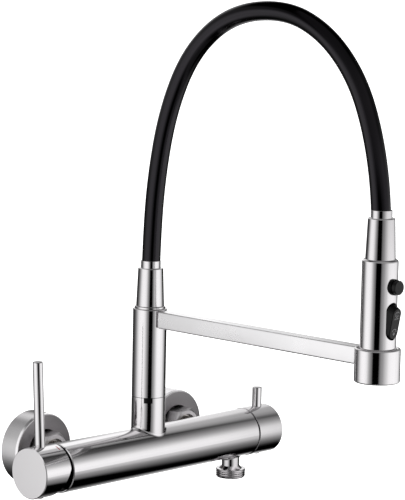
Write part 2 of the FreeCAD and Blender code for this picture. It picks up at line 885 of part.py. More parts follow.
def handle_cap(end_x, inward, length, pin_x, pin_axis):
    """A hollow cap with a central boss; inward points from the closed end to the rim."""
    r = handle_radius
    boss_end = length - boss_short_of_rim
    inner = r - handle_wall
    edge = handle_edge_radius
    profile = [(0, 0), (r - edge, 0), (r, edge), (r, length - edge / 2), (r - edge / 2, length),
               (inner, length), (inner, handle_end_wall), (boss_radius, handle_end_wall),
               (boss_radius, boss_end), (0, boss_end)]
    cap = turned(profile, Vector(end_x, bar_y, 0), inward)
    top = Vector(pin_x, bar_y, r)
    hole = rod(pin_radius + press_clearance, top - pin_axis * (r - pin_foot + butt_gap), top + pin_axis)
    scoop = Part.makeSphere(scoop_radius, Vector(pin_x, bar_y, r + scoop_radius - scoop_depth))
    screw_hole = rod(grub_radius + thread_clearance, Vector(pin_x, bar_y, 0), Vector(pin_x, bar_y, -r - 1))
    plug_hole = rod(plug_radius + running_clearance, Vector(pin_x, bar_y, -plug_foot),
                    Vector(pin_x, bar_y, -r - 1))
    return cap.cut([hole, scoop, screw_hole, plug_hole])


def square_bar(x_low, x_high, side):
    """A square bar on the bar's axis."""
    h = side / 2
    return box(Vector(x_low, bar_y - h, -h), Vector(x_high, bar_y + h, h))


def mixing_lever_cap():
    """The left handle: its lower rim is cut at an angle, so that it can tilt."""
    cap = handle_cap(handle_left_x, X, lever_cap_length, lever_pin_x, lever_direction())
    rim_x = handle_left_x + lever_cap_length
    a = math.radians(rim_cut_angle)
    corner = Vector(rim_x, bar_y - handle_radius - 1, rim_cut_start_z)
    drop = handle_radius + rim_cut_start_z + 1
    wedge = slab([(0, 0), (1, 0), (1, -drop), (-drop * math.tan(a), -drop)], corner, X, Z,
                 Y * (handle_diameter + 2))
    square = square_bar(handle_left_x + square_hole_depth, rim_x, stem_side + square_play)
    return cap.cut([square, wedge, hot_index()])


def pin(base_x, axis, top_z):
    """A handle pin, screwed into the cap's boss, with a bevelled top."""
    start = Vector(base_x, bar_y, handle_radius) - axis * (handle_radius - pin_foot)
    length = (top_z - handle_radius) / axis.z + handle_radius - pin_foot
    blank = turned([(0, 0), (pin_radius, 0), (pin_radius, length - pin_bevel),
                    (pin_radius - pin_bevel, length), (0, length)], Vector(0, 0, 0), Z)
    turn = FreeCAD.Rotation(Z, axis)
    blank.Placement = FreeCAD.Placement(start, turn)
    return blank


def handle_plug(x):
    """The small domed plug that covers the handle's grub screw."""
    top = -plug_foot - butt_gap
    low = -handle_radius - plug_proud
    return turned([(0, low), (plug_radius, low, plug_edge_radius), (plug_radius, top), (0, top)],
                  Vector(x, bar_y, 0), Z)


def handle_screw(x):
    """The grub screw that clamps the handle on its stem."""
    return grub_screw(Vector(x, bar_y, -stem_side / 2 - square_play), -Z, handle_screw_length, grub_radius)


def hot_index():
    """A short inlaid stroke on the lever cap, near its rim."""
    x = handle_left_x + lever_cap_length - index_from_rim
    half = index_width / 2
    band = sleeve(handle_radius, handle_radius - index_depth, Vector(x - half, bar_y, 0),
                  Vector(x + half, bar_y, 0))
    reach = 2 * handle_radius
    corners = [(0, 0)]
    for angle in index_bearings:
        a = math.radians(angle)
        corners.append((reach * math.sin(a), reach * math.cos(a)))
    return band.common(slab(corners, Vector(x - 1, bar_y, 0), -Y, Z, X * 2))


# Mixing cartridge

cartridge_front_x = bar_left_end_x - cartridge_nut_proud
carrier_start_x = cartridge_front_x + butt_gap
carrier_end_x = carrier_start_x + carrier_length
ball_x = pivot_x + drive_ball_reach
moving_disc_x = ball_x - drive_ball_radius - butt_gap
moving_disc_end_x = ball_x + drive_ball_radius + drive_ball_play + moving_disc_floor
fixed_disc_x = moving_disc_end_x + butt_gap
ports = (hot_offset, cold_offset, mixed_offset)


def mixing_cartridge():
    """The cartridge's housing, with a neck for the carrier and a cavity for the discs."""
    start = Vector(cartridge_front_x, bar_y, 0)
    shoulder = mouth_floor_x + butt_gap - cartridge_front_x
    neck_end = carrier_end_x - cartridge_front_x
    cavity_end = fixed_disc_x + disc_thickness - cartridge_front_x
    length = shoulder + cartridge_length
    bore = carrier_radius + running_clearance
    cavity = disc_cavity_radius
    profile = [(bore, 0), (cartridge_neck_radius, 0), (cartridge_neck_radius, shoulder),
               (cartridge_radius, shoulder), (cartridge_radius, length), (0, length), (0, cavity_end),
               (cavity, cavity_end), (cavity, neck_end), (bore, neck_end)]
    holes = [rod(cartridge_port_radius, start + Vector(cavity_end - 1, along, up),
                 start + Vector(length + 1, along, up)) for along, up in ports]
    return turned(profile, start, X).cut(holes)


def cartridge_nut():
    """The threaded ring that clamps the cartridge in the bar, with slots for a key."""
    start = Vector(cartridge_front_x, bar_y, 0)
    inner = cartridge_neck_radius + thread_clearance
    outer = cartridge_nut_radius
    bevel = cartridge_nut_bevel
    length = mouth_floor_x - cartridge_front_x
    profile = [(inner, 0), (outer - bevel, 0), (outer, bevel), (outer, length), (inner, length)]
    ring = turned(profile, start, X)
    slots = []
    for k in range(nut_slot_count):
        a = 2 * math.pi * (k + 0.5) / nut_slot_count
        centre = start + Vector(0, math.cos(a), math.sin(a)) * (inner + outer) * 0.5
        slots.append(rod(nut_slot_radius, centre, centre + X * nut_slot_depth))
    return ring.cut(slots)


def cartridge_carrier():
    """The turning collar in the cartridge's neck, slotted for the lever's stem."""
    start = Vector(carrier_start_x, bar_y, 0)
    collar = rod(carrier_radius, start, start + X * carrier_length)
    side = stem_neck_half + seat_gap
    tilt = stem_neck_half + stem_tilt_room
    slot = box(start + Vector(-1, -side, -tilt), start + Vector(carrier_length + 1, side, tilt))
    reach = Y * (carrier_radius + 1)
    pivot = Vector(pivot_x, bar_y, 0)
    return collar.cut([slot, rod(carrier_pin_radius + running_clearance, pivot - reach, pivot + reach)])


def carrier_pin():
    """The hinge pin of the stem, across the carrier."""
    half = Y * (carrier_radius - 2 * seat_gap)
    pivot = Vector(pivot_x, bar_y, 0)
    return rod(carrier_pin_radius, pivot - half, pivot + half)


def mixing_stem():
    """The stem: a square for the handle, a flat neck on the pin and a drive ball."""
    square_end = cartridge_front_x - stem_tilt_room
    square = square_bar(handle_left_x + square_hole_depth + butt_gap, square_end, stem_side)
    half = stem_neck_half
    neck = box(Vector(square_end, bar_y - half, -half),
               Vector(pivot_x + stem_neck_past_pin, bar_y + half, half))
    pivot = Vector(pivot_x, bar_y, 0)
    ball = Part.makeSphere(drive_ball_radius, Vector(ball_x, bar_y, 0))
    wrist = rod(stem_wrist_radius, pivot, Vector(ball_x, bar_y, 0))
    hole = rod(carrier_pin_radius + running_clearance, pivot - Y * (half + 1), pivot + Y * (half + 1))
    return square.fuse([neck, ball, wrist]).cut(hole).removeSplitter()


def moving_disc():
    """The sliding ceramic disc with its driver, pushed by the stem's ball."""
    start = Vector(moving_disc_x, bar_y, 0)
    disc = rod(moving_disc_radius, start, Vector(moving_disc_end_x, bar_y, 0))
    socket = rod(drive_ball_radius + drive_ball_play, start - X,
                 Vector(moving_disc_end_x - moving_disc_floor, bar_y, 0))
    return disc.cut(socket)


def fixed_disc():
    """The ceramic disc at the bottom of the cartridge, with three ports."""
    start = Vector(fixed_disc_x, bar_y, 0)
    disc = rod(disc_cavity_radius - running_clearance, start, start + X * disc_thickness)
    holes = []
    for along, up in ports:
        spot = start + Vector(0, along, up) * disc_port_share
        holes.append(rod(disc_port_radius, spot - X, spot + X * (disc_thickness + 1)))
    return disc.cut(holes)


# Diverter

handle_right_x = bar_right_end_x + right_gap + diverter_cap_length
stub_pin_x = handle_right_x - stub_from_end
square_floor_x = handle_right_x - square_hole_depth
headwork_x = headwork_floor_x + seat_gap
spindle_disc_x = headwork_x + headwork_cavity_depth - spindle_disc_thickness - seat_gap


def diverter_cap():
    """The right handle, square to the bar."""
    cap = handle_cap(handle_right_x, -X, diverter_cap_length, stub_pin_x, Z)
    return cap.cut(square_bar(handle_right_x - diverter_cap_length, square_floor_x, stem_side + square_play))


def diverter_headwork():
    """The ceramic headwork's housing: a threaded body, a hexagon flange and a window to the outlet."""
    start = Vector(headwork_x, bar_y, 0)
    flange_start = Vector(bar_right_end_x, bar_y, 0)
    flange = slab(hexagon(2 * headwork_flange_radius), flange_start, Y, Z, X * headwork_flange_thickness)
    body = rod(headwork_radius, start, flange_start).fuse(flange)
    cavity_end = start + X * headwork_cavity_depth
    flange_end = flange_start + X * headwork_flange_thickness
    bore = rod(spindle_radius + running_clearance, cavity_end, flange_end)
    cavity = rod(headwork_radius - headwork_wall, start - X, cavity_end)
    centre = Vector(headwork_x + headwork_cavity_depth / 2, bar_y, 0)
    window = rod(headwork_window_radius, centre - Z * (headwork_radius + 1), centre)
    return body.cut([bore, cavity, window])


def diverter_spindle():
    """The spindle that turns with the handle, with a square outer end."""
    shaft_end = bar_right_end_x + headwork_flange_thickness + spindle_past_flange
    start = Vector(spindle_disc_x, bar_y, 0)
    shaft = rod(spindle_radius, start, Vector(shaft_end, bar_y, 0))
    disc_radius = headwork_radius - headwork_wall - running_clearance
    disc = rod(disc_radius, start, start + X * spindle_disc_thickness)
    square = square_bar(shaft_end, square_floor_x - butt_gap, stem_side)
    return shaft.fuse([disc, square])


# Spray head

shell_inner = head_radius - head_wall
core_radius = shell_inner - core_clearance
core_bottom_z = head_bottom_z + core_above_foot
core_top_z = head_top_z - core_below_top
connector_flange_z = head_top_z - connector_flange_length
connector_bottom_z = connector_flange_z - connector_length
connector_seal_z = connector_bottom_z + connector_seal_height
clip_z = core_top_z - clip_below_core_top
button_hole_radius = button_radius + 2 * bellows_wall
button_face_out = head_radius + button_proud
button_seat_out = head_radius - button_seat_depth
under_cap_out = button_face_out - button_cap_thickness
rocker_face_out = head_radius + rocker_proud
rocker_base_out = head_radius - rocker_base_depth
rocker_pivot_out = head_radius - rocker_pivot_depth
rocker_pocket_out = head_radius - rocker_pocket_depth
rocker_foot_out = rocker_pivot_out - rocker_foot_reach
rocker_hole = (rocker_base_length + 2 * rocker_end_gap, rocker_base_width + 2 * rocker_side_gap)
spool_out = rocker_foot_out - spool_past_foot
spool_bottom_z = core_bottom_z + spool_above_core_foot
spool_top_z = button_z - spool_below_button


def front(out, z, across=0.0):
    """A point in front of the head's axis."""
    return Vector(riser_x + across, head_y - out, z)


def head_shell():
    """The head's metal tube, with a rounded shoulder and holes for its two controls."""
    hole = cone_bottom_diameter / 2 + seat_gap
    under = head_top_z - head_top_thickness
    profile = [(shell_inner, head_bottom_z), (head_radius, head_bottom_z, head_edge_radius),
               (head_radius, head_top_z, head_shoulder_radius), (hole, head_top_z), (hole, under),
               (shell_inner, under - head_wall)]
    button_hole = rod(button_hole_radius, front(0, button_z), front(head_radius + 1, button_z))
    key_hole = slab(stadium(*rocker_hole), front(0, rocker_z), X, Z, -Y * (head_radius + 1))
    return turned(profile, head_axis, Z).cut([button_hole, key_hole])


def rocker_pocket():
    """The room for the rocker in the core, with two ears left for its pin."""
    pocket = slab(stadium(*rocker_hole), front(rocker_pocket_out, rocker_z), X, Z, -Y * head_radius)
    ear_out = rocker_pivot_out + ear_above_pin
    inner = rocker_hub_width / 2 + seat_gap
    outer = rocker_hole[1]
    top = rocker_z + ear_height / 2
    low = rocker_z - ear_height / 2
    ears = [box(front(ear_out, low, inner), front(rocker_pocket_out, top, outer)),
            box(front(ear_out, low, -outer), front(rocker_pocket_out, top, -inner))]
    return pocket.cut(ears)


def head_core():
    """The plastic valve body inside the shell."""
    core = rod(core_radius, head_axis + Z * core_bottom_z, head_axis + Z * core_top_z)
    clip_half = Z * (clip_thickness / 2 + seat_gap)
    clip_level = head_axis + Z * clip_z
    foot_side = rocker_foot_half + rocker_edge_radius + seat_gap
    foot_room = rocker_foot_half + spool_travel + seat_gap
    cuts = [rod(connector_radius + running_clearance, head_axis + Z * connector_bottom_z,
                head_axis + Z * core_top_z),
            sleeve(connector_radius + 1 + butt_gap, connector_radius, clip_level - clip_half,
                   clip_level + clip_half),
            rod(button_hole_radius, front(button_seat_out, button_z), front(head_radius, button_z)),
            rod(button_stem_radius + running_clearance, front(-waterway_behind, button_z),
                front(button_seat_out, button_z)),
            rod(waterway_radius, front(-waterway_behind, core_bottom_z),
                front(-waterway_behind, connector_bottom_z)),
            rocker_pocket(),
            rod(rocker_pin_radius + running_clearance, front(rocker_pivot_out, rocker_z, -core_radius),
                front(rocker_pivot_out, rocker_z, core_radius)),
            rod(spool_radius + running_clearance, front(spool_out, spool_bottom_z - spool_travel),
                front(spool_out, spool_top_z + spool_travel)),
            box(front(rocker_pocket_out, rocker_z - foot_room, -foot_side),
                front(spool_out, rocker_z + foot_room, foot_side))]
    return core.cut(cuts)


def connector_clip():
    """The open spring clip that holds the connector in the core."""
    half = Z * (clip_thickness / 2)
    level = head_axis + Z * clip_z
    clip = sleeve(connector_radius + 1, connector_radius - clip_bite, level - half, level + half)
    opening = Vector(clip_opening / 2, 0, clip_thickness)
    gap = box(level - opening, level + opening + Y * (connector_radius + 2))
    return clip.cut(gap)


def head_connector():
    """The swivel fitting at the hose's end, which turns in the core."""
    bore = connector_bore_radius
    r = connector_radius
    seal_half = connector_seal_section / 2 + oring_groove_play
    seal_floor = r - connector_groove_depth
    clip_half = (clip_thickness + seat_gap) / 2
    clip_floor = r - clip_bite - seat_gap
    flange = cone_bottom_diameter / 2 - 2 * seat_gap
    hose_end = upper_hose_end_z - butt_gap
    barb_end = hose_end + barb_length
    profile = [(bore, connector_bottom_z), (r, connector_bottom_z), (r, connector_seal_z - seal_half),
               (seal_floor, connector_seal_z - seal_half), (seal_floor, connector_seal_z + seal_half),
               (r, connector_seal_z + seal_half), (r, clip_z - clip_half), (clip_floor, clip_z - clip_half),
               (clip_floor, clip_z + clip_half), (r, clip_z + clip_half), (r, connector_flange_z),
               (flange, connector_flange_z), (flange, upper_cone_z), (hose_neck_radius, upper_cone_z),
               (hose_neck_radius, hose_end), (hose_stem_radius, hose_end), (hose_stem_radius, barb_end),
               (bore, barb_end)]
    return turned(profile, head_axis, Z)


def connector_oring():
    """The ring that seals the connector."""
    outer = connector_radius + running_clearance / 2
    return round_seal(head_axis + Z * connector_seal_z, Z, outer, connector_seal_section)


# Nozzle at the head's foot

face_bottom_z = head_bottom_z + face_recess
face_top_z = face_bottom_z + face_thickness
nozzle_bottom_z = face_top_z + butt_gap
nozzle_top_z = core_bottom_z - butt_gap
aerator_hole = aerator_radius + running_clearance
hole_ring = (core_radius + aerator_radius) / 2


def nozzle_housing():
    """The cup between the core and the spray face, with a ring of water over the face's holes."""
    cup = sleeve(core_radius, aerator_hole, head_axis + Z * nozzle_bottom_z, head_axis + Z * nozzle_top_z)
    half = 3 * face_hole_radius
    depth = (nozzle_top_z - nozzle_bottom_z) / 2
    water = sleeve(hole_ring + half, hole_ring - half, head_axis + Z * (nozzle_bottom_z - 1),
                   head_axis + Z * (nozzle_bottom_z + depth))
    return cup.cut(water)


def spray_face():
    """The rubber face with a ring of spray holes round the aerator."""
    face = turned([(aerator_hole, face_bottom_z), (core_radius, face_bottom_z, face_recess),
                   (core_radius, face_top_z), (aerator_hole, face_top_z)], head_axis, Z)
    holes = []
    for k in range(face_hole_count):
        a = 2 * math.pi * k / face_hole_count
        spot = head_axis + Vector(hole_ring * math.cos(a), hole_ring * math.sin(a), face_bottom_z - 1)
        holes.append(rod(face_hole_radius, spot, spot + Z * (face_thickness + 2)))
    return face.cut(holes)


def aerator():
    """The aerator insert in the middle of the face."""
    low = head_bottom_z + aerator_recess
    top = nozzle_top_z
    plate = low + aerator_plate_depth
    over = plate + aerator_plate_thickness
    inner = aerator_radius - aerator_wall
    body = turned([(0, plate), (inner, plate), (inner, low), (aerator_radius, low), (aerator_radius, top),
                   (inner, top), (inner, over), (0, over)], head_axis, Z)
    spots = [head_axis]
    for k in range(aerator_hole_count):
        a = 2 * math.pi * k / aerator_hole_count
        spots.append(head_axis + Vector(math.cos(a), math.sin(a), 0) * aerator_hole_circle)
    return body.cut([rod(aerator_hole_radius, spot + Z * low, spot + Z * top) for spot in spots])


# Pause button

def pause_button():
    """The round push button with its stem, hollow under its cap for a spring."""
    r = button_radius
    stem = button_stem_radius
    room = spring_coil_radius + 2 * spring_wire_radius
    skirt = button_seat_out + button_travel + 2 * seat_gap
    profile = [(0, -1.0), (stem, -1.0), (stem, under_cap_out), (room, under_cap_out), (room, skirt),
               (r, skirt), (r, button_face_out, button_edge_radius), (0, button_face_out)]
    return turned(profile, front(0, button_z), -Y)


def button_bellows():
    """The rubber collar round the button, standing out of the shell."""
    inner = button_radius + bellows_wall - running_clearance
    outer = button_hole_radius - running_clearance
    foot = head_radius - bellows_depth
    top = head_radius + bellows_proud
    profile = [(inner, foot), (outer, foot), (outer, head_radius), (outer - running_clearance, top),
               (inner, top)]
    return turned(profile, front(0, button_z), -Y)


def button_spring():
    """The coil spring behind the button, in pairs of arcs, a pair to each quarter turn."""
    radius = spring_coil_radius
    start_out = button_seat_out + spring_wire_radius + butt_gap
    length = under_cap_out - spring_wire_radius - butt_gap - start_out
    climb = length / spring_turns / (2 * math.pi)
    print("spring's least gap to itself:", round(length / spring_turns - 2 * spring_wire_radius, 2))

    def spot(a):
        return front(start_out + climb * a, button_z + radius * math.sin(a), radius * math.cos(a))

    def heading(a):
        way = Vector(-radius * math.sin(a), -climb, radius * math.cos(a))
        way.normalize()
        return way

    edges = []
    for k in range(4 * spring_turns):
        a = k * math.pi / 2
        b = a + math.pi / 2
        chord = spot(b) - spot(a)
        both = heading(a) + heading(b)
        square = both.dot(both) - 4
        along = chord.dot(both)
        reach = (along - math.sqrt(along ** 2 - square * chord.dot(chord))) / square
        first = spot(a) + heading(a) * reach
        second = spot(b) - heading(b) * reach
        joint = (first + second) / 2
        edges.append(arc_inside(spot(a), first, joint)[0])
        edges.append(arc_inside(joint, second, spot(b))[0])
    ring = Part.Wire(Part.makeCircle(spring_wire_radius, spot(0), heading(0)))
    return Part.Wire(edges).makePipeShell([ring], True, False)


# Spray rocker

def rocker_tilted(solid):
    """The rocker is modelled level and then tilted about its pivot, with its top out."""
    pivot = front(rocker_pivot_out, rocker_z)
    solid.Placement = FreeCAD.Placement(Vector(0, 0, 0), FreeCAD.Rotation(X, rocker_tilt), pivot)
    return solid


def spray_rocker():
    """A long key with a tapered body, a flat face and a foot that drives the spool."""
    pivot_out = rocker_pivot_out
    low = outline(stadium(rocker_base_length, rocker_base_width), front(rocker_base_out, rocker_z), X, Z)
    high = outline(stadium(rocker_face_length, rocker_face_width), front(rocker_face_out, rocker_z), X, Z)
    key = Part.makeLoft([low, high], True, True)
    rim = [e for e in key.Edges if e.BoundBox.YMax < head_y - rocker_face_out + 0.01]
    key = key.makeFillet(rocker_edge_radius, rim)
    half = rocker_hub_width / 2
    hub = rod(rocker_hub_radius, front(pivot_out, rocker_z, -half), front(pivot_out, rocker_z, half))
    web = box(front(rocker_base_out + 1, rocker_z - rocker_web_half, -half),
              front(pivot_out, rocker_z + rocker_web_half, half))
    side = rocker_foot_half + seat_gap
    foot = box(front(pivot_out, rocker_z - rocker_foot_half, -side),
               front(rocker_foot_out, rocker_z + rocker_foot_half, side))
    hole = rod(rocker_pin_radius + running_clearance, front(pivot_out, rocker_z, -half - 1),
               front(pivot_out, rocker_z, half + 1))
    return rocker_tilted(key.fuse([hub, web, foot]).cut(hole))


def rocker_pin():
    """The steel pin through the core that the rocker turns on."""
    half = math.sqrt(core_radius ** 2 - (rocker_pivot_out + rocker_pin_radius) ** 2) - butt_gap
    return rod(rocker_pin_radius, front(rocker_pivot_out, rocker_z, -half),
               front(rocker_pivot_out, rocker_z, half))


def spray_spool():
    """The sliding spool that the rocker's foot pushes up and down."""
    centre = rocker_z + rocker_foot_reach * math.sin(math.radians(rocker_tilt))
    half = rocker_foot_half + spool_foot_play
    spool = rod(spool_radius, front(spool_out, spool_bottom_z), front(spool_out, spool_top_z))
    waist = sleeve(spool_radius + 1, spool_radius - spool_waist_depth, front(spool_out, centre - half),
                   front(spool_out, centre + half))
    return spool.cut(waist)


# Build and save every piece

def build():
    os.makedirs("parts", exist_ok=True)
    write("mixer_body", mixer_body())
    for side, name in ((-1, "left"), (1, "right")):
        write("wall_flange_" + name, wall_flange(side * inlet_spacing / 2))
        write("eccentric_union_" + name, eccentric_union(side))
        write("union_nut_" + name, union_nut(side))
    write("inlet_seals", inlet_seal(-1), inlet_seal(1))
    write("check_valves", check_valve(-1), check_valve(1))
    write("inlet_seats", inlet_seat(-1), inlet_seat(1))
    write("outlet_nipple", outlet_nipple())
    write("swivel_collar", swivel_collar())
    write("swivel_bush", swivel_bush())
    write("swivel_screw", swivel_screw())
    write("mixing_cartridge", mixing_cartridge())
    write("cartridge_nut", cartridge_nut())
    write("fixed_disc", fixed_disc())
    write("diverter_headwork", diverter_headwork())
    write("cartridge_carrier", cartridge_carrier())
    write("carrier_pin", carrier_pin())
    write("moving_disc", moving_disc())
    write("mixing_lever_cap", mixing_lever_cap())
    write("mixing_lever_pin", pin(lever_pin_x, lever_direction(), lever_top_z))
    write("mixing_lever_screw", handle_screw(lever_pin_x))
    write("mixing_lever_plug", handle_plug(lever_pin_x))
    write("hot_index", hot_index())
    write("mixing_stem", mixing_stem())
    write("diverter_cap", diverter_cap())
    write("diverter_pin", pin(stub_pin_x, Z, stub_top_z))
    write("diverter_screw", handle_screw(stub_pin_x))
    write("diverter_plug", handle_plug(stub_pin_x))
    write("diverter_spindle", diverter_spindle())
    write("column_spigot", column_spigot())
    write("swivel_orings", *swivel_orings())
    write("riser_tube", riser_tube())
    write("lower_connector", lower_connector())
    write("shoulder_ring", shoulder_ring())
    write("lower_hose_cone", hose_cone(riser_axis, shoulder_top_z))
    write("lower_ferrule", hose_ferrule(riser_axis, shoulder_top_z + cone_height))
    write("arm", arm())
    write("dock_ring", dock_ring())
    write("dock_liner", dock_liner())
    path = hose_path()
    write("hose_jacket", hose_tube(path, hose_radius, hose_radius - jacket_wall))
    write("hose_liner", hose_tube(path, hose_radius - jacket_wall - 0.05,
                                  hose_radius - jacket_wall - liner_hose_wall))
    write("upper_hose_cone", hose_cone(head_axis, upper_cone_z))
    write("upper_ferrule", hose_ferrule(head_axis, upper_cone_z + cone_height))
    write("head_connector", head_connector())
    write("connector_oring", connector_oring())
    write("head_shell", head_shell())
    write("head_core", head_core())
    write("connector_clip", connector_clip())
    write("nozzle_housing", nozzle_housing())
    write("spray_face", spray_face())
    write("aerator", aerator())
    write("button_bellows", button_bellows())
    write("button_spring", button_spring())
    write("pause_button", pause_button())
    write("spray_rocker", spray_rocker())
    write("rocker_pin", rocker_pin())
    write("spray_spool", spray_spool())


build()
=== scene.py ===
import math

import bmesh
import bpy
from mathutils import Matrix, Vector


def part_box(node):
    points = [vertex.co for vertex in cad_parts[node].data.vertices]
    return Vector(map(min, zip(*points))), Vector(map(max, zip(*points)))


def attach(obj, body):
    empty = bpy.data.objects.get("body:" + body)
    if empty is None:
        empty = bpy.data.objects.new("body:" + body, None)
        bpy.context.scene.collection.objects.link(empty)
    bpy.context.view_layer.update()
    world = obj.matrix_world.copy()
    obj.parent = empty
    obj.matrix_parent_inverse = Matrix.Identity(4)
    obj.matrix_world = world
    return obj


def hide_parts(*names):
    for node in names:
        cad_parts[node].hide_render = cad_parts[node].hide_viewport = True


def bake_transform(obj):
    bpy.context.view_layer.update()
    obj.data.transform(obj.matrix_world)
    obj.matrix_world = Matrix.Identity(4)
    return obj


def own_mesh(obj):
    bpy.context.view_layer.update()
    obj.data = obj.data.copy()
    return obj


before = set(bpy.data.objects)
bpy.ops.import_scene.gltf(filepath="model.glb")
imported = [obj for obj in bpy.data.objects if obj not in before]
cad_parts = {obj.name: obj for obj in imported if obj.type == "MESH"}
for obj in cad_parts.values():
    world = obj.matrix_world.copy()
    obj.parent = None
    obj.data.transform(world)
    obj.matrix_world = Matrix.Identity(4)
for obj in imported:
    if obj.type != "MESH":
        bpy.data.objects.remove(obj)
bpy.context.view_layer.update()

# The photograph's camera: a long lens from the front left, a little above the bar,
# held with a slight roll.
eye = Vector((-1.4777, -1.5321, 0.4514))
azimuth, elevation, roll = math.radians(-46.37), math.radians(7.70), math.radians(1.19)
back = Vector((math.sin(azimuth) * math.cos(elevation), -math.cos(azimuth) * math.cos(elevation),
               math.sin(elevation)))
level_right = Vector((math.cos(azimuth), math.sin(azimuth), 0))
level_up = back.cross(level_right)
right = math.cos(roll) * level_right + math.sin(roll) * level_up
up = math.cos(roll) * level_up - math.sin(roll) * level_right
lens = bpy.data.cameras.new("photo_camera")
lens.lens = 220.08
lens.sensor_width = 36
lens.sensor_fit = "HORIZONTAL"
lens.clip_start = 0.1
lens.clip_end = 200
camera = bpy.data.objects.new("photo_camera", lens)
camera.matrix_world = Matrix.Translation(eye) @ Matrix((right, up, back)).transposed().to_4x4()
bpy.context.scene.collection.objects.link(camera)
bpy.context.scene.camera = camera


# The hose: a smooth black jacket of soft plastic over an inner water hose, one stiff
# length pushed into a steel ferrule at each end, standing in its own wide loop.
class Wire:
    """A value in a finish, on which sums are written as they would be on paper."""

    def __init__(self, finish, socket):
        self.finish = finish
        self.socket = socket

    def apply(self, operation, *others):
        """This value, and then the others, through one of Blender's sums."""
        sockets = dict(enumerate((self, *others)))
        return self.finish.node("ShaderNodeMath", {"operation": operation}, sockets)

    def __add__(self, other):
        return self.apply("ADD", other)

    def __sub__(self, other):
        return self.apply("SUBTRACT", other)

    def __rsub__(self, other):
        return self.finish.node("ShaderNodeMath", {"operation": "SUBTRACT"}, {0: other, 1: self})

    def __mul__(self, other):
        return self.apply("MULTIPLY", other)

    def __truediv__(self, other):
        return self.apply("DIVIDE", other)

    __radd__ = __add__
    __rmul__ = __mul__

    def rise(self, low, high, start=0.0, end=1.0):
        """A soft step: start below low, end above high."""
        sockets = {"Value": self, "From Min": low, "From Max": high, "To Min": start, "To Max": end}
        return self.finish.node("ShaderNodeMapRange", {"interpolation_type": "SMOOTHSTEP"}, sockets)

    def through(self, *stops):
        """The level at each place along this wire, in straight runs between the stops."""
        low, high = stops[0][0], stops[-1][0]
        even = [((place - low) / (high - low), (level, level, level)) for place, level in stops]
        return self.finish.node("ShaderNodeValToRGB", {"stops": even}, {0: (self - low) / (high - low)})


class Finish:
    """The nodes of one material, or of the studio's light."""

    def __init__(self, tree):
        self.tree = tree
        tree.nodes.clear()

    def node(self, kind, settings=None, sockets=None, output=0):
        """Adds a node: its settings first, then the value or wire of each socket."""
        made = self.tree.nodes.new(kind)
        for key, value in (settings or {}).items():
            if key == "stops":
                ramp = made.color_ramp.elements
                while len(ramp) < len(value):
                    ramp.new(0.5)
                for stop, (place, tone) in zip(ramp, value):
                    stop.position = place
                    stop.color = (*tone, 1)
            else:
                setattr(made, key, value)
        for key, value in (sockets or {}).items():
            if isinstance(value, Wire):
                self.tree.links.new(value.socket, made.inputs[key])
            else:
                made.inputs[key].default_value = value
        return Wire(self, made.outputs[output]) if made.outputs else None

    def place(self):
        """Where a point is on the object, in metres, as three wires."""
        point = self.node("ShaderNodeTexCoord", output="Object")
        return [self.node("ShaderNodeSeparateXYZ", None, {0: point}, axis) for axis in "XYZ"]

    def speckle(self, x, y, z, detail):
        """Fine noise over three wires that are already in grains."""
        grains = self.node("ShaderNodeCombineXYZ", None, {0: x, 1: y, 2: z})
        return self.node("ShaderNodeTexNoise", None, {"Vector": grains, "Scale": 1.0, "Detail": detail})

    def grain(self, per_metre, detail):
        """Noise that is as coarse in every direction, with so many grains to the metre."""
        x, y, z = self.place()
        return self.speckle(x * per_metre, y * per_metre, z * per_metre, detail)

    def tint(self, amount, dark, light):
        """A colour between two, by a wire from 0 to 1. Each is three numbers, or a wire itself."""
        dark, light = (tone if isinstance(tone, Wire) else (*tone, 1) for tone in (dark, light))
        return self.node("ShaderNodeMix", {"data_type": "RGBA"}, {0: amount, 6: dark, 7: light}, 2)

    def relief(self, height, depth):
        """A bump of that height in metres."""
        return self.node("ShaderNodeBump", None, {"Height": height, "Distance": depth, "Strength": 1.0})

    def skin(self, **sockets):
        """The surface itself, joined to the output."""
        named = {key.replace("_", " ").title().replace("Ior", "IOR"): value
                 for key, value in sockets.items()}
        surface = self.node("ShaderNodeBsdfPrincipled", None, named)
        self.node("ShaderNodeOutputMaterial", None, {"Surface": surface})


def new_finish(name):
    """A material and the nodes to make it with."""
    material = bpy.data.materials.new(name)
    material.use_nodes = True
    return material, Finish(material.node_tree)


def tube(rings):
    """Corners and faces of a closed tube through rings, each with the same number of corners."""
    sides = len(rings[0])
    faces = []
    for i in range(len(rings) - 1):
        for k in range(sides):
            n = (k + 1) % sides
            faces.append((i * sides + k, i * sides + n, (i + 1) * sides + n, (i + 1) * sides + k))
    faces.append(tuple(range(sides))[::-1])
    faces.append(tuple(range((len(rings) - 1) * sides, len(rings) * sides)))
    return [corner for ring in rings for corner in ring], faces


def joined(name, *shells):
    """One mesh of several closed shells, all facing outward."""
    corners, faces = [], []
    for some_corners, some_faces in shells:
        start = len(corners)
        corners += some_corners
        faces += [tuple(start + k for k in face) for face in some_faces]
    mesh = bpy.data.meshes.new(name)
    mesh.from_pydata(corners, [], faces)
    shape = bmesh.new()
    shape.from_mesh(mesh)
    bmesh.ops.recalc_face_normals(shape, faces=shape.faces)
    shape.to_mesh(mesh)
    shape.free()
    return mesh


def piece(name, mesh, material, body, crease=34):
    """A new piece of the object from a finished mesh, riding on its body. Edges that turn by
    more than the crease, in degrees, stay sharp."""
    mesh.update()
    made = bpy.data.objects.new(name, mesh)
    bpy.context.scene.collection.objects.link(made)
    mesh.materials.append(material)
    for face in mesh.polygons:
        face.use_smooth = True
    mesh.set_sharp_from_angle(angle=math.radians(crease))
    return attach(made, body) if body else made


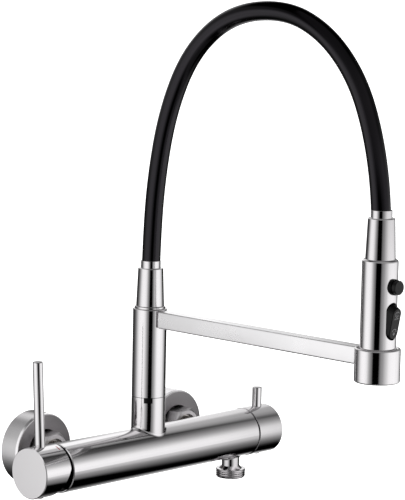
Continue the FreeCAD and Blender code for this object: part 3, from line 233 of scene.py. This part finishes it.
riser_x, bar_y, head_y = -0.0154, -0.0785, -0.3275
hose_diameter, hose_length = 0.0157, 0.542
hose_route = [(0, 0.1369), (0, 0.1684), (0.004, 0.2305), (0.017, 0.2915), (0.043, 0.3415),
              (0.087, 0.3735), (0.145, 0.3795), (0.188, 0.3625), (0.2205, 0.3295), (0.239, 0.2865),
              (0.249, 0.235), (0.249, 0.206)]


def hose_line():
    """Points along the smooth line that the route's points steer."""
    curve = bpy.data.curves.new("hose_line", "CURVE")
    curve.dimensions = "3D"
    curve.resolution_u = 16
    spline = curve.splines.new("NURBS")
    spline.points.add(len(hose_route) - 1)
    for point, (out, z) in zip(spline.points, hose_route):
        point.co = (riser_x, bar_y - out, z, 1)
    spline.order_u = 3
    spline.use_endpoint_u = True
    holder = bpy.data.objects.new("hose_line", curve)
    bpy.context.scene.collection.objects.link(holder)
    line = bpy.data.meshes.new_from_object(holder)
    points = [vertex.co.copy() for vertex in line.vertices]
    bpy.data.objects.remove(holder)
    return points


def hose_rings(points, radius, sides=40):
    """Rings round those points. The loop is flat, so each ring stands across it."""
    across = Vector((1, 0, 0))
    last = len(points) - 1
    rings = []
    for i, point in enumerate(points):
        along = (points[min(i + 1, last)] - points[max(i - 1, 0)]).normalized()
        outward = along.cross(across)
        turns = [2 * math.pi * k / sides for k in range(sides)]
        rings.append([point + radius * (math.cos(turn) * across + math.sin(turn) * outward)
                      for turn in turns])
    return rings


hose_black, finish = new_finish("hose_black")
mottle, pores = finish.grain(60, 4), finish.grain(2600, 1)
finish.skin(base_color=finish.tint(mottle, (0.0006, 0.0006, 0.0007), (0.0016, 0.0015, 0.0017)),
            roughness=mottle.rise(0.2, 0.8, 0.10, 0.14), specular_ior_level=0.36,
            specular_tint=(1.0, 0.93, 1.06, 1), normal=finish.relief(pores, 1e-6))
line = hose_line()
hose = piece("hose", joined("hose", tube(hose_rings(line, hose_diameter / 2))), hose_black, None)
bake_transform(hose)
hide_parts("hose_jacket", "hose_liner")


# The bar: a thick stainless tube turned and satin brushed all round, with the riser's
# socket and the outlet's neck drawn out of it in soft fillets, and painted shade, near black, inside its
# left end.
def dress(material, *names):
    """Gives CAD nodes their finish."""
    for name in names:
        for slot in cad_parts[name].material_slots:
            slot.material = material


def off_axis(a, b):
    """How far a point is from an axis, from its two distances across it."""
    return (a * a + b * b).apply("SQRT")


def turned_steel(name, axis, centre, light=0.80, shine=0.085, streak=3e-6, painted_shade_span=None):
    """Satin stainless steel with the fine rings that turning leaves round an axis, and painted shade,
    near black, between two stations along it inside some radius."""
    material, finish = new_finish(name)
    place = finish.place()
    along = place.pop("XYZ".index(axis))
    a, b = place[0] - centre[0], place[1] - centre[1]
    radius, turn = off_axis(a, b), b.apply("ARCTAN2", a)
    rings = finish.speckle(along * 2400, radius * 2400, turn * 1.3, 3)
    cloud = finish.speckle(along * 45, radius * 45, turn * 1.2, 3)
    pale = (light * 1.02, light, light * 1.01)
    deep = (light * 0.95, light * 0.93, light * 0.95)
    tone = finish.tint(rings * 0.6 + cloud * 0.4, deep, pale)
    # Painted shade: within the span and radius the tone goes near black, as the shadow in the hollow.
    if painted_shade_span:
        first, last, reach = painted_shade_span
        soft = 2e-4
        inside = (along.rise(first - soft, first) * along.rise(last, last + soft, 1, 0)
                  * radius.rise(reach - soft, reach, 1, 0))
        tone = finish.tint(inside, tone, (0.01, 0.01, 0.01))
    rough = rings.rise(0.25, 0.75, shine - 0.015, shine + 0.015) + cloud.rise(0.3, 0.7, -0.012, 0.012)
    finish.skin(metallic=1.0, base_color=tone, roughness=rough, normal=finish.relief(rings, streak))
    return material


# Painted shade: the bar's left end, in the gap under the cap, is coloured near black.
left_end = (-0.1300, -0.1199, 0.0196)
dress(turned_steel("bar_steel", "X", (bar_y, 0.0), painted_shade_span=left_end), "mixer_body")


# The wall side: two deep pressed cups, satin round their sides and duller on their fronts, each
# with a bright turned edge and a rolled-in hole, over two eccentric unions and hexagon nuts.
inlet_x, eccentric = 0.080, 0.005
pipe_pitch, pipe_depth = 0.001814, 0.00116
half_inch_thread, three_quarter_thread = 0.01048, 0.01322
cup_radius, cup_depth, cup_sheet = 0.0312, 0.0197, 0.0015
hole_radius, lip_wall, lip_bend, lip_foot, lip_foot_radius = 0.0179, 0.0008, -0.0140, -0.0005, 0.0160
front_radius = cup_radius - cup_sheet


def lathe(profile, centre, axis="Z", cut=None, sides=144):
    """Corners and faces of a ring turned round an axis, with a pipe thread cut between two
    stations wherever the profile runs straight outside the bore."""
    steps_a_turn, least_thread = 16, 0.0095
    rows = []
    for (r0, h0), (r1, h1) in zip(profile, profile[1:] + profile[:1]):
        threaded = bool(cut) and r0 == r1 and r0 > least_thread and cut[0] < (h0 + h1) / 2 < cut[1]
        steps = max(1, round(abs(h1 - h0) / pipe_pitch * steps_a_turn)) if threaded else 1
        for k in range(steps):
            rows.append((r0 + (r1 - r0) * k / steps, h0 + (h1 - h0) * k / steps, threaded))
    corners, faces = [], []
    for r, h, threaded in rows:
        for k in range(sides):
            turn = 2 * math.pi * k / sides
            out = r
            if threaded:
                run_out = max(0.0, min(1.0, (h - cut[0]) / pipe_pitch, (cut[1] - h) / pipe_pitch))
                out = r - pipe_depth * run_out * (0.5 + 0.5 * math.cos(2 * math.pi * h / pipe_pitch - turn))
            a, b = out * math.cos(turn), out * math.sin(turn)
            spot = (a, b, h) if axis == "Z" else (a, h, b)
            corners.append(Vector(spot) + Vector(centre))
    for i in range(len(rows)):
        j = (i + 1) % len(rows)
        for k in range(sides):
            n = (k + 1) % sides
            faces.append((i * sides + k, i * sides + n, j * sides + n, j * sides + k))
    return corners, faces


def flange_finish(name, x_centre):
    """Satin steel turned round the cup, with a duller front whose darker colour is painted shade,
    and the rolled-in hole painted near black as shade.
    """
    material, finish = new_finish(name)
    x, y, z = finish.place()
    radius = off_axis(x - x_centre, z)
    front = (y.rise(0.00025 - cup_depth, 0.0009 - cup_depth, 1, 0)
             * radius.rise(front_radius - 0.0001, front_radius + 0.0003, 1, 0))
    # Painted shade: the rolled-in hole behind the front is coloured near black.
    hole_shade_mask = (y.rise(0.0002 - cup_depth, 0.0004 - cup_depth)
            * radius.rise(hole_radius + 0.0009, hole_radius + 0.0011, 1, 0))
    rings = finish.speckle(y * 2600, radius * 2600, radius * 3, 3)
    cloud = finish.grain(50, 3)
    side_tone = finish.tint(rings * 0.6 + cloud * 0.4, (0.80, 0.785, 0.80), (0.90, 0.885, 0.895))
    # Painted shade: the front gets a far darker copy of the steel's tone, for the dark it reflects.
    shaded_front_tone = finish.tint(rings * 0.5 + cloud * 0.5, (0.31, 0.297, 0.306), (0.39, 0.375, 0.386))
    tone = finish.tint(hole_shade_mask, finish.tint(front, side_tone, shaded_front_tone), (0.012, 0.012, 0.012))
    finish.skin(metallic=1.0, base_color=tone, roughness=front * 0.17 + cloud.rise(0.3, 0.7, 0.19, 0.23),
                normal=finish.relief(rings, 3e-6))
    return material


turned_edge = [(front_radius, -cup_depth), (0.0301, -0.0196), (0.0304, -0.0193), (cup_radius, -0.0174)]
cup = [(hole_radius, -cup_depth), *turned_edge, (cup_radius, 0.0), (front_radius, 0.0),
       (front_radius, cup_sheet - cup_depth), (hole_radius + lip_wall, cup_sheet - cup_depth),
       (hole_radius + lip_wall, lip_bend), (lip_foot_radius + lip_wall, lip_foot),
       (lip_foot_radius, lip_foot), (hole_radius, lip_bend)]
for side, name in ((-1, "left"), (1, "right")):
    flange = piece("flange_" + name, joined("flange_" + name, lathe(cup, (side * inlet_x, 0, 0), "Y")),
                   flange_finish("flange_steel_" + name, side * inlet_x), "mixer_body", crease=18)
    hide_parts("wall_flange_" + name)
    dress(turned_steel("nut_steel_" + name, "Y", (side * inlet_x, 0.0), light=0.86, shine=0.36, streak=6e-6),
          "union_nut_" + name)


def plated_brass(name, shine):
    """Nickelled brass, a little yellower than the steel, with the mottle of plating."""
    material, finish = new_finish(name)
    mottle, pits = finish.grain(240, 4), finish.grain(5000, 2)
    finish.skin(metallic=1.0, base_color=finish.tint(mottle, (0.52, 0.50, 0.47), (0.64, 0.62, 0.59)),
                roughness=mottle.rise(0.3, 0.7, shine, shine + 0.08), normal=finish.relief(pits, 2e-6))
    return material


def moulded(name, dark, light, shine, grain_depth=2e-6, gloss=0.5):
    """Moulded plastic or rubber with the fine grain of its mould."""
    material, finish = new_finish(name)
    grain, cloud = finish.grain(2800, 2), finish.grain(150, 3)
    finish.skin(base_color=finish.tint(grain * 0.5 + cloud * 0.5, dark, light),
                roughness=cloud.rise(0.3, 0.7, shine - 0.03, shine + 0.03), specular_ior_level=gloss,
                normal=finish.relief(grain, grain_depth))
    return material


plated = plated_brass("plated_brass", 0.24)
seal_rubber = moulded("seal_rubber", (0.006, 0.006, 0.006), (0.012, 0.012, 0.013), 0.55)
valve_plastic = moulded("valve_plastic", (0.30, 0.31, 0.33), (0.38, 0.39, 0.41), 0.4)
water_bore, wall_end, nut_end = 0.0065, 0.0200, -0.0240
disc_radius, disc_front, disc_back = 0.0155, -0.0080, -0.0020
screw_foot, thread_start = -0.0025, -0.0005
screwed_in = [(water_bore, wall_end), (0.0096, wall_end), (half_inch_thread, 0.0191),
              (half_inch_thread, screw_foot), (water_bore, screw_foot)]
offset_end = [(water_bore, nut_end), (0.0128, nut_end), (three_quarter_thread, -0.0236),
              (three_quarter_thread, disc_front), (disc_radius, disc_front), (disc_radius, disc_back),
              (water_bore, disc_back)]
for side, name in ((-1, "left"), (1, "right")):
    wall_half = lathe(screwed_in, (side * (inlet_x - eccentric), 0, 0), "Y", (thread_start, wall_end))
    nut_half = lathe(offset_end, (side * inlet_x, 0, 0), "Y")
    union = piece("union_" + name, joined("union_" + name, wall_half, nut_half), plated, "mixer_body")
    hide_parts("eccentric_union_" + name)
dress(plated, "inlet_seats")
dress(seal_rubber, "inlet_seals")
dress(valve_plastic, "check_valves")


# The left handle: a turned steel cap with an obliquely cut rim, a polished pin for a lever,
# a grub screw under a domed rubber plug, and a red lacquered stroke for hot.
# Painted shade: the cap's hollow, inside this radius, is coloured near black.
cap_hollow = (-0.1480, -0.1150, 0.0192)
cap_steel = turned_steel("cap_steel", "X", (bar_y, 0.0), painted_shade_span=cap_hollow)
dress(cap_steel, "mixing_lever_cap")
lever_x = -0.1394
dress(turned_steel("lever_steel", "Z", (lever_x, bar_y), shine=0.06, streak=1e-6), "mixing_lever_pin")
screw_steel = plated_brass("screw_steel", 0.22)
dress(screw_steel, "mixing_lever_screw", "carrier_pin", "mixing_stem")
plug_rubber = moulded("plug_rubber", (0.0015, 0.0015, 0.0018), (0.004, 0.004, 0.0045), 0.3, gloss=0.25)
dress(plug_rubber, "mixing_lever_plug")
red_lacquer, finish = new_finish("red_lacquer")
orange_peel = finish.grain(1800, 2)
finish.skin(base_color=finish.tint(orange_peel, (0.66, 0.03, 0.05), (0.80, 0.05, 0.07)),
            roughness=orange_peel.rise(0.3, 0.7, 0.22, 0.32), normal=finish.relief(orange_peel, 3e-6))
dress(red_lacquer, "hot_index")


# The mixing cartridge behind it: a black plastic housing, kept near black partly as painted shade, under a
# brass ring nut painted black as shade, with two ceramic discs, one fixed and one pushed about by the stem
# that the lever tilts.
# Partly painted shade: the housing and carrier are black plastic, kept near black so the bar's inside reads
# dark.
cartridge_plastic = moulded("cartridge_plastic", (0.003, 0.003, 0.0035), (0.008, 0.008, 0.009), 0.4)
dress(cartridge_plastic, "mixing_cartridge", "cartridge_carrier")
# Painted shade: the ring nut is coloured near black so the inside of the bar reads as shadow.
shade_black_nut = moulded("shade_black_nut", (0.002, 0.002, 0.002), (0.006, 0.006, 0.006), 0.4)
dress(shade_black_nut, "cartridge_nut")
ceramic = moulded("ceramic", (0.74, 0.73, 0.70), (0.82, 0.81, 0.78), 0.14, 4e-7)
dress(ceramic, "fixed_disc", "moving_disc")


# The right handle: a plain turned cap with a short polished pin, on the spindle of the
# raw brass headwork that sends the water to the outlet below.
dress(cap_steel, "diverter_cap")
stub_x = 0.1209
dress(turned_steel("stub_steel", "Z", (stub_x, bar_y), shine=0.06, streak=1e-6), "diverter_pin")
dress(screw_steel, "diverter_screw", "diverter_spindle")
dress(plug_rubber, "diverter_plug")
raw_brass, finish = new_finish("raw_brass")
tarnish = finish.grain(180, 4)
finish.skin(metallic=1.0, base_color=finish.tint(tarnish, (0.42, 0.27, 0.10), (0.66, 0.46, 0.20)),
            roughness=tarnish.rise(0.3, 0.7, 0.2, 0.36), normal=finish.relief(tarnish, 4e-6))
dress(raw_brass, "diverter_headwork")


# The outlet for a second hose: a nipple turned from one steel rod, screwed into the bar's
# neck, with a small cone and a cut pipe thread of about four turns.
outlet_x, outlet_bore, outlet_end, thread_face = 0.0885, 0.0046, -0.0380, -0.0302
spigot_radius, spigot_top, cone_radius, cone_top = 0.0060, -0.0189, 0.0078, -0.0278
nipple_profile = [(outlet_bore, outlet_end), (0.0120, outlet_end), (three_quarter_thread, -0.0370),
                  (three_quarter_thread, -0.0304), (0.0130, thread_face), (0.0102, thread_face),
                  (cone_radius, cone_top), (spigot_radius, cone_top), (spigot_radius, spigot_top),
                  (outlet_bore, spigot_top)]
nipple_shell = lathe(nipple_profile, (outlet_x, bar_y, 0), "Z", (outlet_end, thread_face))
nipple_steel = turned_steel("nipple_steel", "Z", (outlet_x, bar_y), shine=0.07)
nipple = piece("threaded_nipple", joined("threaded_nipple", nipple_shell), nipple_steel, "mixer_body")
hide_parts("outlet_nipple")


# The column: a satin steel tube on a collar that turns on the bar's socket, a black bush
# with its key in the collar's notch, and a shoulder, cone and ferrule that take the hose.
riser_steel = turned_steel("riser_steel", "Z", (riser_x, bar_y))
dress(riser_steel, "riser_tube", "swivel_collar", "shoulder_ring", "lower_hose_cone", "lower_ferrule",
      "column_spigot")
dress(plated, "lower_connector")
dress(screw_steel, "swivel_screw")
bush_plastic = moulded("bush_plastic", (0.0012, 0.0012, 0.0014), (0.003, 0.003, 0.0034), 0.32, gloss=0.3)
dress(bush_plastic, "swivel_bush")
dress(seal_rubber, "swivel_orings")


# The arm and its docking ring: flat bar with softly rounded edges, ground along its length,
# seated on the riser by a round boss, and a turned ring lined with black plastic.
arm_half, arm_low, arm_top = 0.006, 0.1074, 0.1217
arm_start, arm_end, arm_round = -0.0943, -0.3116, 0.0015
boss_radius, boss_depth, boss_bite, boss_core = 0.0045, 0.0018, 0.0002, 0.0001


def ground_steel(name, light=0.95):
    """Steel ground along Y, its scratches long and fine, its tone paler than the other steel as painted
    light.
    """
    material, finish = new_finish(name)
    x, y, z = finish.place()
    scratches = finish.speckle(x * 4200, y * 55, z * 4200, 3)
    cloud = finish.speckle(x * 40, y * 30, z * 40, 3)
    # Painted light: these tones are paler than the other steel's, so the arm's flat sides read brighter.
    dull, bright = (light * 0.96, light * 0.95, light * 0.96), (light, light * 0.99, light)
    finish.skin(metallic=1.0, base_color=finish.tint(scratches, dull, bright),
                roughness=cloud.rise(0.3, 0.7, 0.26, 0.31), normal=finish.relief(scratches, 2e-6))
    return material


def arm_section(corner_steps=6):
    """The arm's outline across its length, with its four edges rounded."""
    outline = []
    for corner_x, corner_z, first in ((arm_half, arm_top, 0), (-arm_half, arm_top, 90),
                                      (-arm_half, arm_low, 180), (arm_half, arm_low, 270)):
        inner_x = corner_x - math.copysign(arm_round, corner_x)
        inner_z = corner_z - arm_round if corner_z == arm_top else corner_z + arm_round
        for k in range(corner_steps + 1):
            turn = math.radians(first + 90 * k / corner_steps)
            outline.append((riser_x + inner_x + arm_round * math.cos(turn),
                            inner_z + arm_round * math.sin(turn)))
    return outline


flat_bar = tube([[Vector((x, y_end, z)) for x, z in arm_section()] for y_end in (arm_start, arm_end)])
boss = lathe([(boss_core, arm_start - boss_bite), (boss_radius, arm_start - boss_bite),
              (boss_radius, arm_start + boss_depth), (boss_core, arm_start + boss_depth)],
             (riser_x, 0, (arm_low + arm_top) / 2), "Y", sides=48)
arm = piece("flat_arm", joined("flat_arm", flat_bar, boss), ground_steel("arm_steel"), "column")
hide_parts("arm")
head_steel = turned_steel("head_steel", "Z", (riser_x, head_y), shine=0.08)
dress(head_steel, "dock_ring")
dock_plastic = moulded("dock_plastic", (0.001, 0.001, 0.0012), (0.002, 0.002, 0.0023), 0.35, gloss=0.3)
dress(dock_plastic, "dock_liner")


# The hose's upper end: a ferrule and cone like the lower ones, and a plated connector that
# the head turns on, with its rubber ring and spring clip.
dress(head_steel, "upper_hose_cone", "upper_ferrule")
dress(plated, "head_connector")
dress(seal_rubber, "connector_oring")
dress(screw_steel, "connector_clip")


# The spray head: a satin steel tube over a black plastic valve body, with a black plastic
# rocker on a steel pin, whose two generic signs for spray and jet are printed in pale ink.
dress(head_steel, "head_shell")
core_plastic = moulded("core_plastic", (0.004, 0.004, 0.0045), (0.008, 0.008, 0.009), 0.4)
dress(core_plastic, "head_core", "nozzle_housing", "spray_spool")
button_plastic = moulded("button_plastic", (0.003, 0.0028, 0.0034), (0.006, 0.0056, 0.0064), 0.34, 4e-6,
                         gloss=0.26)
dress(button_plastic, "spray_rocker")
dress(screw_steel, "rocker_pin")
icon_ink, finish = new_finish("icon_ink")
worn = finish.grain(3000, 2)
finish.skin(base_color=finish.tint(worn, (0.42, 0.42, 0.43), (0.52, 0.52, 0.53)), roughness=0.5,
            normal=finish.relief(worn, 3e-6))
rocker_pivot, rocker_tilt = Vector((riser_x, head_y - 0.0090, 0.1447)), math.radians(11)
face_right = Vector((1, 0, 0))
face_up = Vector((0, -math.sin(rocker_tilt), math.cos(rocker_tilt)))
face_out = Vector((0, -math.cos(rocker_tilt), -math.sin(rocker_tilt)))


def printed_stroke(points, width=0.00038, low=0.00822, high=0.00830):
    """A thin raised stroke on the rocker's face, along points given across and up."""
    rings = []
    for i, (u, v) in enumerate(points):
        before, after = points[max(i - 1, 0)], points[min(i + 1, len(points) - 1)]
        run, climb = after[0] - before[0], after[1] - before[1]
        size = math.hypot(run, climb)
        side_u, side_v = -climb / size * width / 2, run / size * width / 2
        rings.append([rocker_pivot + face_right * (u + sign * side_u) + face_up * (v + sign * side_v)
                      + face_out * depth for sign, depth in ((1, low), (-1, low), (-1, high), (1, high))])
    return tube(rings)


def arc(u, v, radius, first, last, steps=20):
    """Points of an arc on the rocker's face, in degrees from across."""
    turns = [math.radians(first + (last - first) * k / steps) for k in range(steps + 1)]
    return [(u + radius * math.cos(a), v + radius * math.sin(a)) for a in turns]


rose_height, rose_radius, hole_circle, hole_dot = 0.0078, 0.0021, 0.0009, 0.00012
ray_top, ray_foot, jet_height, jet_radius = 0.0047, 0.0036, -0.0063, 0.0022
spray_sign = [arc(0, rose_height, rose_radius, 20, 340)]
for k in range(3):
    a = math.radians(90 + 120 * k)
    hole_u, hole_v = hole_circle * math.cos(a), rose_height + hole_circle * math.sin(a)
    spray_sign.append(arc(hole_u, hole_v, hole_dot, 0, 350))
for k in range(-2, 3):
    spray_sign.append([(0.0008 * k, ray_top), (0.0010 * k, ray_foot)])
jet_sign = [arc(0, jet_height, jet_radius, 20, 160)]
for side in (-1, 1):
    jet_sign.append([(side * 0.0021, -0.0056), (side * 0.0008, -0.0064)])
for k, top, foot in ((-1, -0.0070, -0.0088), (0, -0.0073, -0.0093), (1, -0.0070, -0.0088)):
    jet_sign.append([(0.0007 * k, top), (0.0007 * k, foot)])
strokes = [printed_stroke(stroke) for stroke in spray_sign + jet_sign]
icons = piece("rocker_icons", joined("rocker_icons", *strokes), icon_ink, "spray_rocker")


# The spray face: moulded rubber with a ring of soft nubs that limescale is rubbed off from,
# round a plastic aerator.
face_rubber = moulded("face_rubber", (0.02, 0.02, 0.022), (0.03, 0.03, 0.032), 0.5)
dress(face_rubber, "spray_face")
dress(valve_plastic, "aerator")
nub_circle, nub_count, nub_bore, face_z = 0.0092, 18, 0.0006, 0.0985
nub_tip, nub_foot = face_z - 0.00045, face_z + 0.0001
nub_shape = [(nub_bore, nub_tip), (0.00085, nub_tip), (0.0010, face_z - 0.0003), (0.0012, nub_foot),
             (nub_bore, nub_foot)]
nub_shells = []
for k in range(nub_count):
    a = 2 * math.pi * k / nub_count
    centre = (riser_x + nub_circle * math.cos(a), head_y + nub_circle * math.sin(a), 0)
    nub_shells.append(lathe(nub_shape, centre, "Z", sides=24))
nubs = piece("spray_nubs", joined("spray_nubs", *nub_shells), face_rubber, "spray_head")


# The pause button: a round plastic cap in a rubber collar, pushed out by a steel spring that
# is wound round its stem.
dress(button_plastic, "pause_button")
bellows_rubber = moulded("bellows_rubber", (0.001, 0.001, 0.0012), (0.0025, 0.0025, 0.0028), 0.4, gloss=0.10)
dress(bellows_rubber, "button_bellows")
spring_low, spring_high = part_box("button_spring")
spring_wire, spring_radius, spring_turns, button_travel, spare = 0.00035, 0.00285, 4, 0.0025, 0.02
spring_seat, spring_top = spring_high[1] - spring_wire, spring_low[1] + spring_wire
button_z = (spring_low[2] + spring_high[2]) / 2


def coil_rings(steps=36, sides=10):
    """Rings round the spring's wire, wound in even turns between its seat and the button's cap."""
    rings = []
    last = steps * spring_turns
    for i in range(last + 1):
        a = 2 * math.pi * i / steps
        middle = Vector((riser_x, spring_seat + (spring_top - spring_seat) * i / last, button_z))
        outward = Vector((math.cos(a), 0, math.sin(a)))
        turns = [2 * math.pi * k / sides for k in range(sides)]
        rings.append([middle + outward * (spring_radius + spring_wire * math.cos(b))
                      + Vector((0, spring_wire * math.sin(b), 0)) for b in turns])
    return rings


spring = piece("coil_spring", joined("coil_spring", tube(coil_rings())), screw_steel, "spray_head")
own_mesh(spring)
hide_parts("button_spring")


# The studio: a round white tent close about the object, brightest in a tall soft light on
# each side of the camera, black in the gap between them, with weak fill above and below
# that gap, almost black overhead, and paler again behind.
tent_centre, tent_radius = Vector((-0.015, -0.16, 0.0)), 0.59
front_x, front_y = -0.7238, -0.6900
tent_mesh = bpy.data.meshes.new("light_tent")
sphere = bmesh.new()
bmesh.ops.create_uvsphere(sphere, u_segments=64, v_segments=32, radius=tent_radius)
sphere.to_mesh(tent_mesh)
sphere.free()
tent = bpy.data.objects.new("light_tent", tent_mesh)
tent.location = tent_centre
bpy.context.scene.collection.objects.link(tent)
tent_light, finish = new_finish("tent_light")
x, y, z = (wire / tent_radius for wire in finish.place())
toward = x * front_x + y * front_y
aside = x * -front_y + y * front_x
degrees = 180 / math.pi
bearing = aside.apply("ARCTAN2", toward) * degrees
height = z.apply("ARCSINE") * degrees
behind = bearing.apply("ABSOLUTE")
left_side = bearing.through((-180, 0.10), (-150, 0.06), (-138, 0.03), (-125, 0.04), (-112, 0.15),
                            (-100, 0.36), (-90, 0.66), (-80, 0.88), (-70, 0.96), (-58, 0.98), (-48, 0.94),
                            (-38, 0.80), (-30, 0.50), (-20, 0.25), (-12, 0.12), (-10, 0), (180, 0))
left_height = height.through((-90, 0), (-52, 0), (-46, 0.05), (-36, 0.20), (-30, 0.30), (-25, 0.42),
                             (-18, 0.68), (-11, 0.92), (0, 1), (11, 0.95), (90, 0.4))
left_height = left_height * height.rise(40, 60, 1, 0)
right_side = bearing.through((-180, 0), (15, 0), (17, 0.12), (23, 0.25), (30, 0.33), (38, 0.54), (45, 0.70),
                             (52, 0.90), (62, 0.98), (78, 1.0), (88, 0.95), (100, 0.91), (112, 0.62),
                             (122, 0.42), (132, 0.08), (140, 0), (180, 0))
right_height = height.through((-90, 0), (-48, 0), (-45, 0.06), (-41, 0.15), (-36, 0.21), (-30, 0.28),
                              (-25, 0.42), (-18, 0.68), (-11, 0.92), (0, 1), (11, 0.94), (18, 0.74),
                              (25, 0.53), (36, 0.31), (41, 0.17), (45, 0.10), (58, 0.09), (66, 0), (90, 0))
front_fill = bearing.through((-180, 0), (-60, 0), (-40, 0.45), (10, 0.50), (50, 0.45), (72, 0), (180, 0))
fill_height = height.through((-90, 0.2), (-55, 0.35), (-38, 0.45), (-24, 0), (24, 0), (34, 0.45), (50, 0.50),
                             (70, 0.3), (90, 0.2))
backdrop = behind.through((0, 0), (158, 0), (163, 0.12), (167, 0.55), (171, 0.78), (180, 0.88))
backdrop_height = height.through((-90, 0), (-55, 0), (-47, 0.07), (-38, 0.26), (-30, 0.52), (-15, 0.86),
                                 (0, 1), (20, 0.82), (30, 0.50), (40, 0.25), (55, 0.10), (62, 0), (90, 0))
top_back = behind.through((0, 0), (127, 0), (138, 0.26), (150, 0.38), (160, 0.42), (180, 0.36))
top_left = bearing.through((-180, 0.30), (-150, 0.34), (-120, 0.20), (-95, 0.18), (-70, 0.12), (-50, 0),
                           (180, 0))
top_height = height.through((-90, 0), (18, 0), (30, 0.90), (40, 1), (64, 1), (72, 0), (90, 0))
level = (left_side * left_height + right_side * right_height + front_fill * fill_height
         + backdrop * backdrop_height + top_back * top_height + top_left * top_height)
glow = finish.node("ShaderNodeEmission", None, {
    "Color": finish.tint(level, (0, 0, 0), (1, 1, 1)), "Strength": 1.2})
finish.node("ShaderNodeOutputMaterial", None, {"Surface": glow})
tent_mesh.materials.append(tent_light)
tent.visible_camera = False
tent.visible_shadow = False


# The room round the tent: plain white on every side, with a pale floor that shows from
# above and is clear from below.
world = bpy.data.worlds.new("white_room")
world.use_nodes = True
bpy.context.scene.world = world
room = Finish(world.node_tree)
white = room.node("ShaderNodeBackground", None, {"Color": (1, 1, 1, 1), "Strength": 1.0})
room.node("ShaderNodeOutputWorld", None, {"Surface": white})
bpy.context.scene.view_settings.view_transform = "Standard"
reach, floor_z = 60, -0.60
floor_mesh = bpy.data.meshes.new("floor")
floor_mesh.from_pydata([(-reach, -reach, floor_z), (reach, -reach, floor_z), (reach, reach, floor_z),
                        (-reach, reach, floor_z)], [], [(0, 1, 2, 3)])
floor = bpy.data.objects.new("floor", floor_mesh)
bpy.context.scene.collection.objects.link(floor)
floor_white, finish = new_finish("floor_white")
above = 1 - finish.node("ShaderNodeNewGeometry", output="Backfacing")
pale = finish.node("ShaderNodeBsdfPrincipled", None, {
    "Base Color": (0.85, 0.85, 0.85, 1), "Roughness": 0.9, "Emission Color": (1, 1, 1, 1),
    "Emission Strength": 0.9})
clear = finish.node("ShaderNodeBsdfTransparent")
either = finish.node("ShaderNodeMixShader", None, {0: above, 1: clear, 2: pale})
finish.node("ShaderNodeOutputMaterial", None, {"Surface": either})
floor_mesh.materials.append(floor_white)
floor.visible_glossy = False
floor.visible_diffuse = False
floor.visible_shadow = False
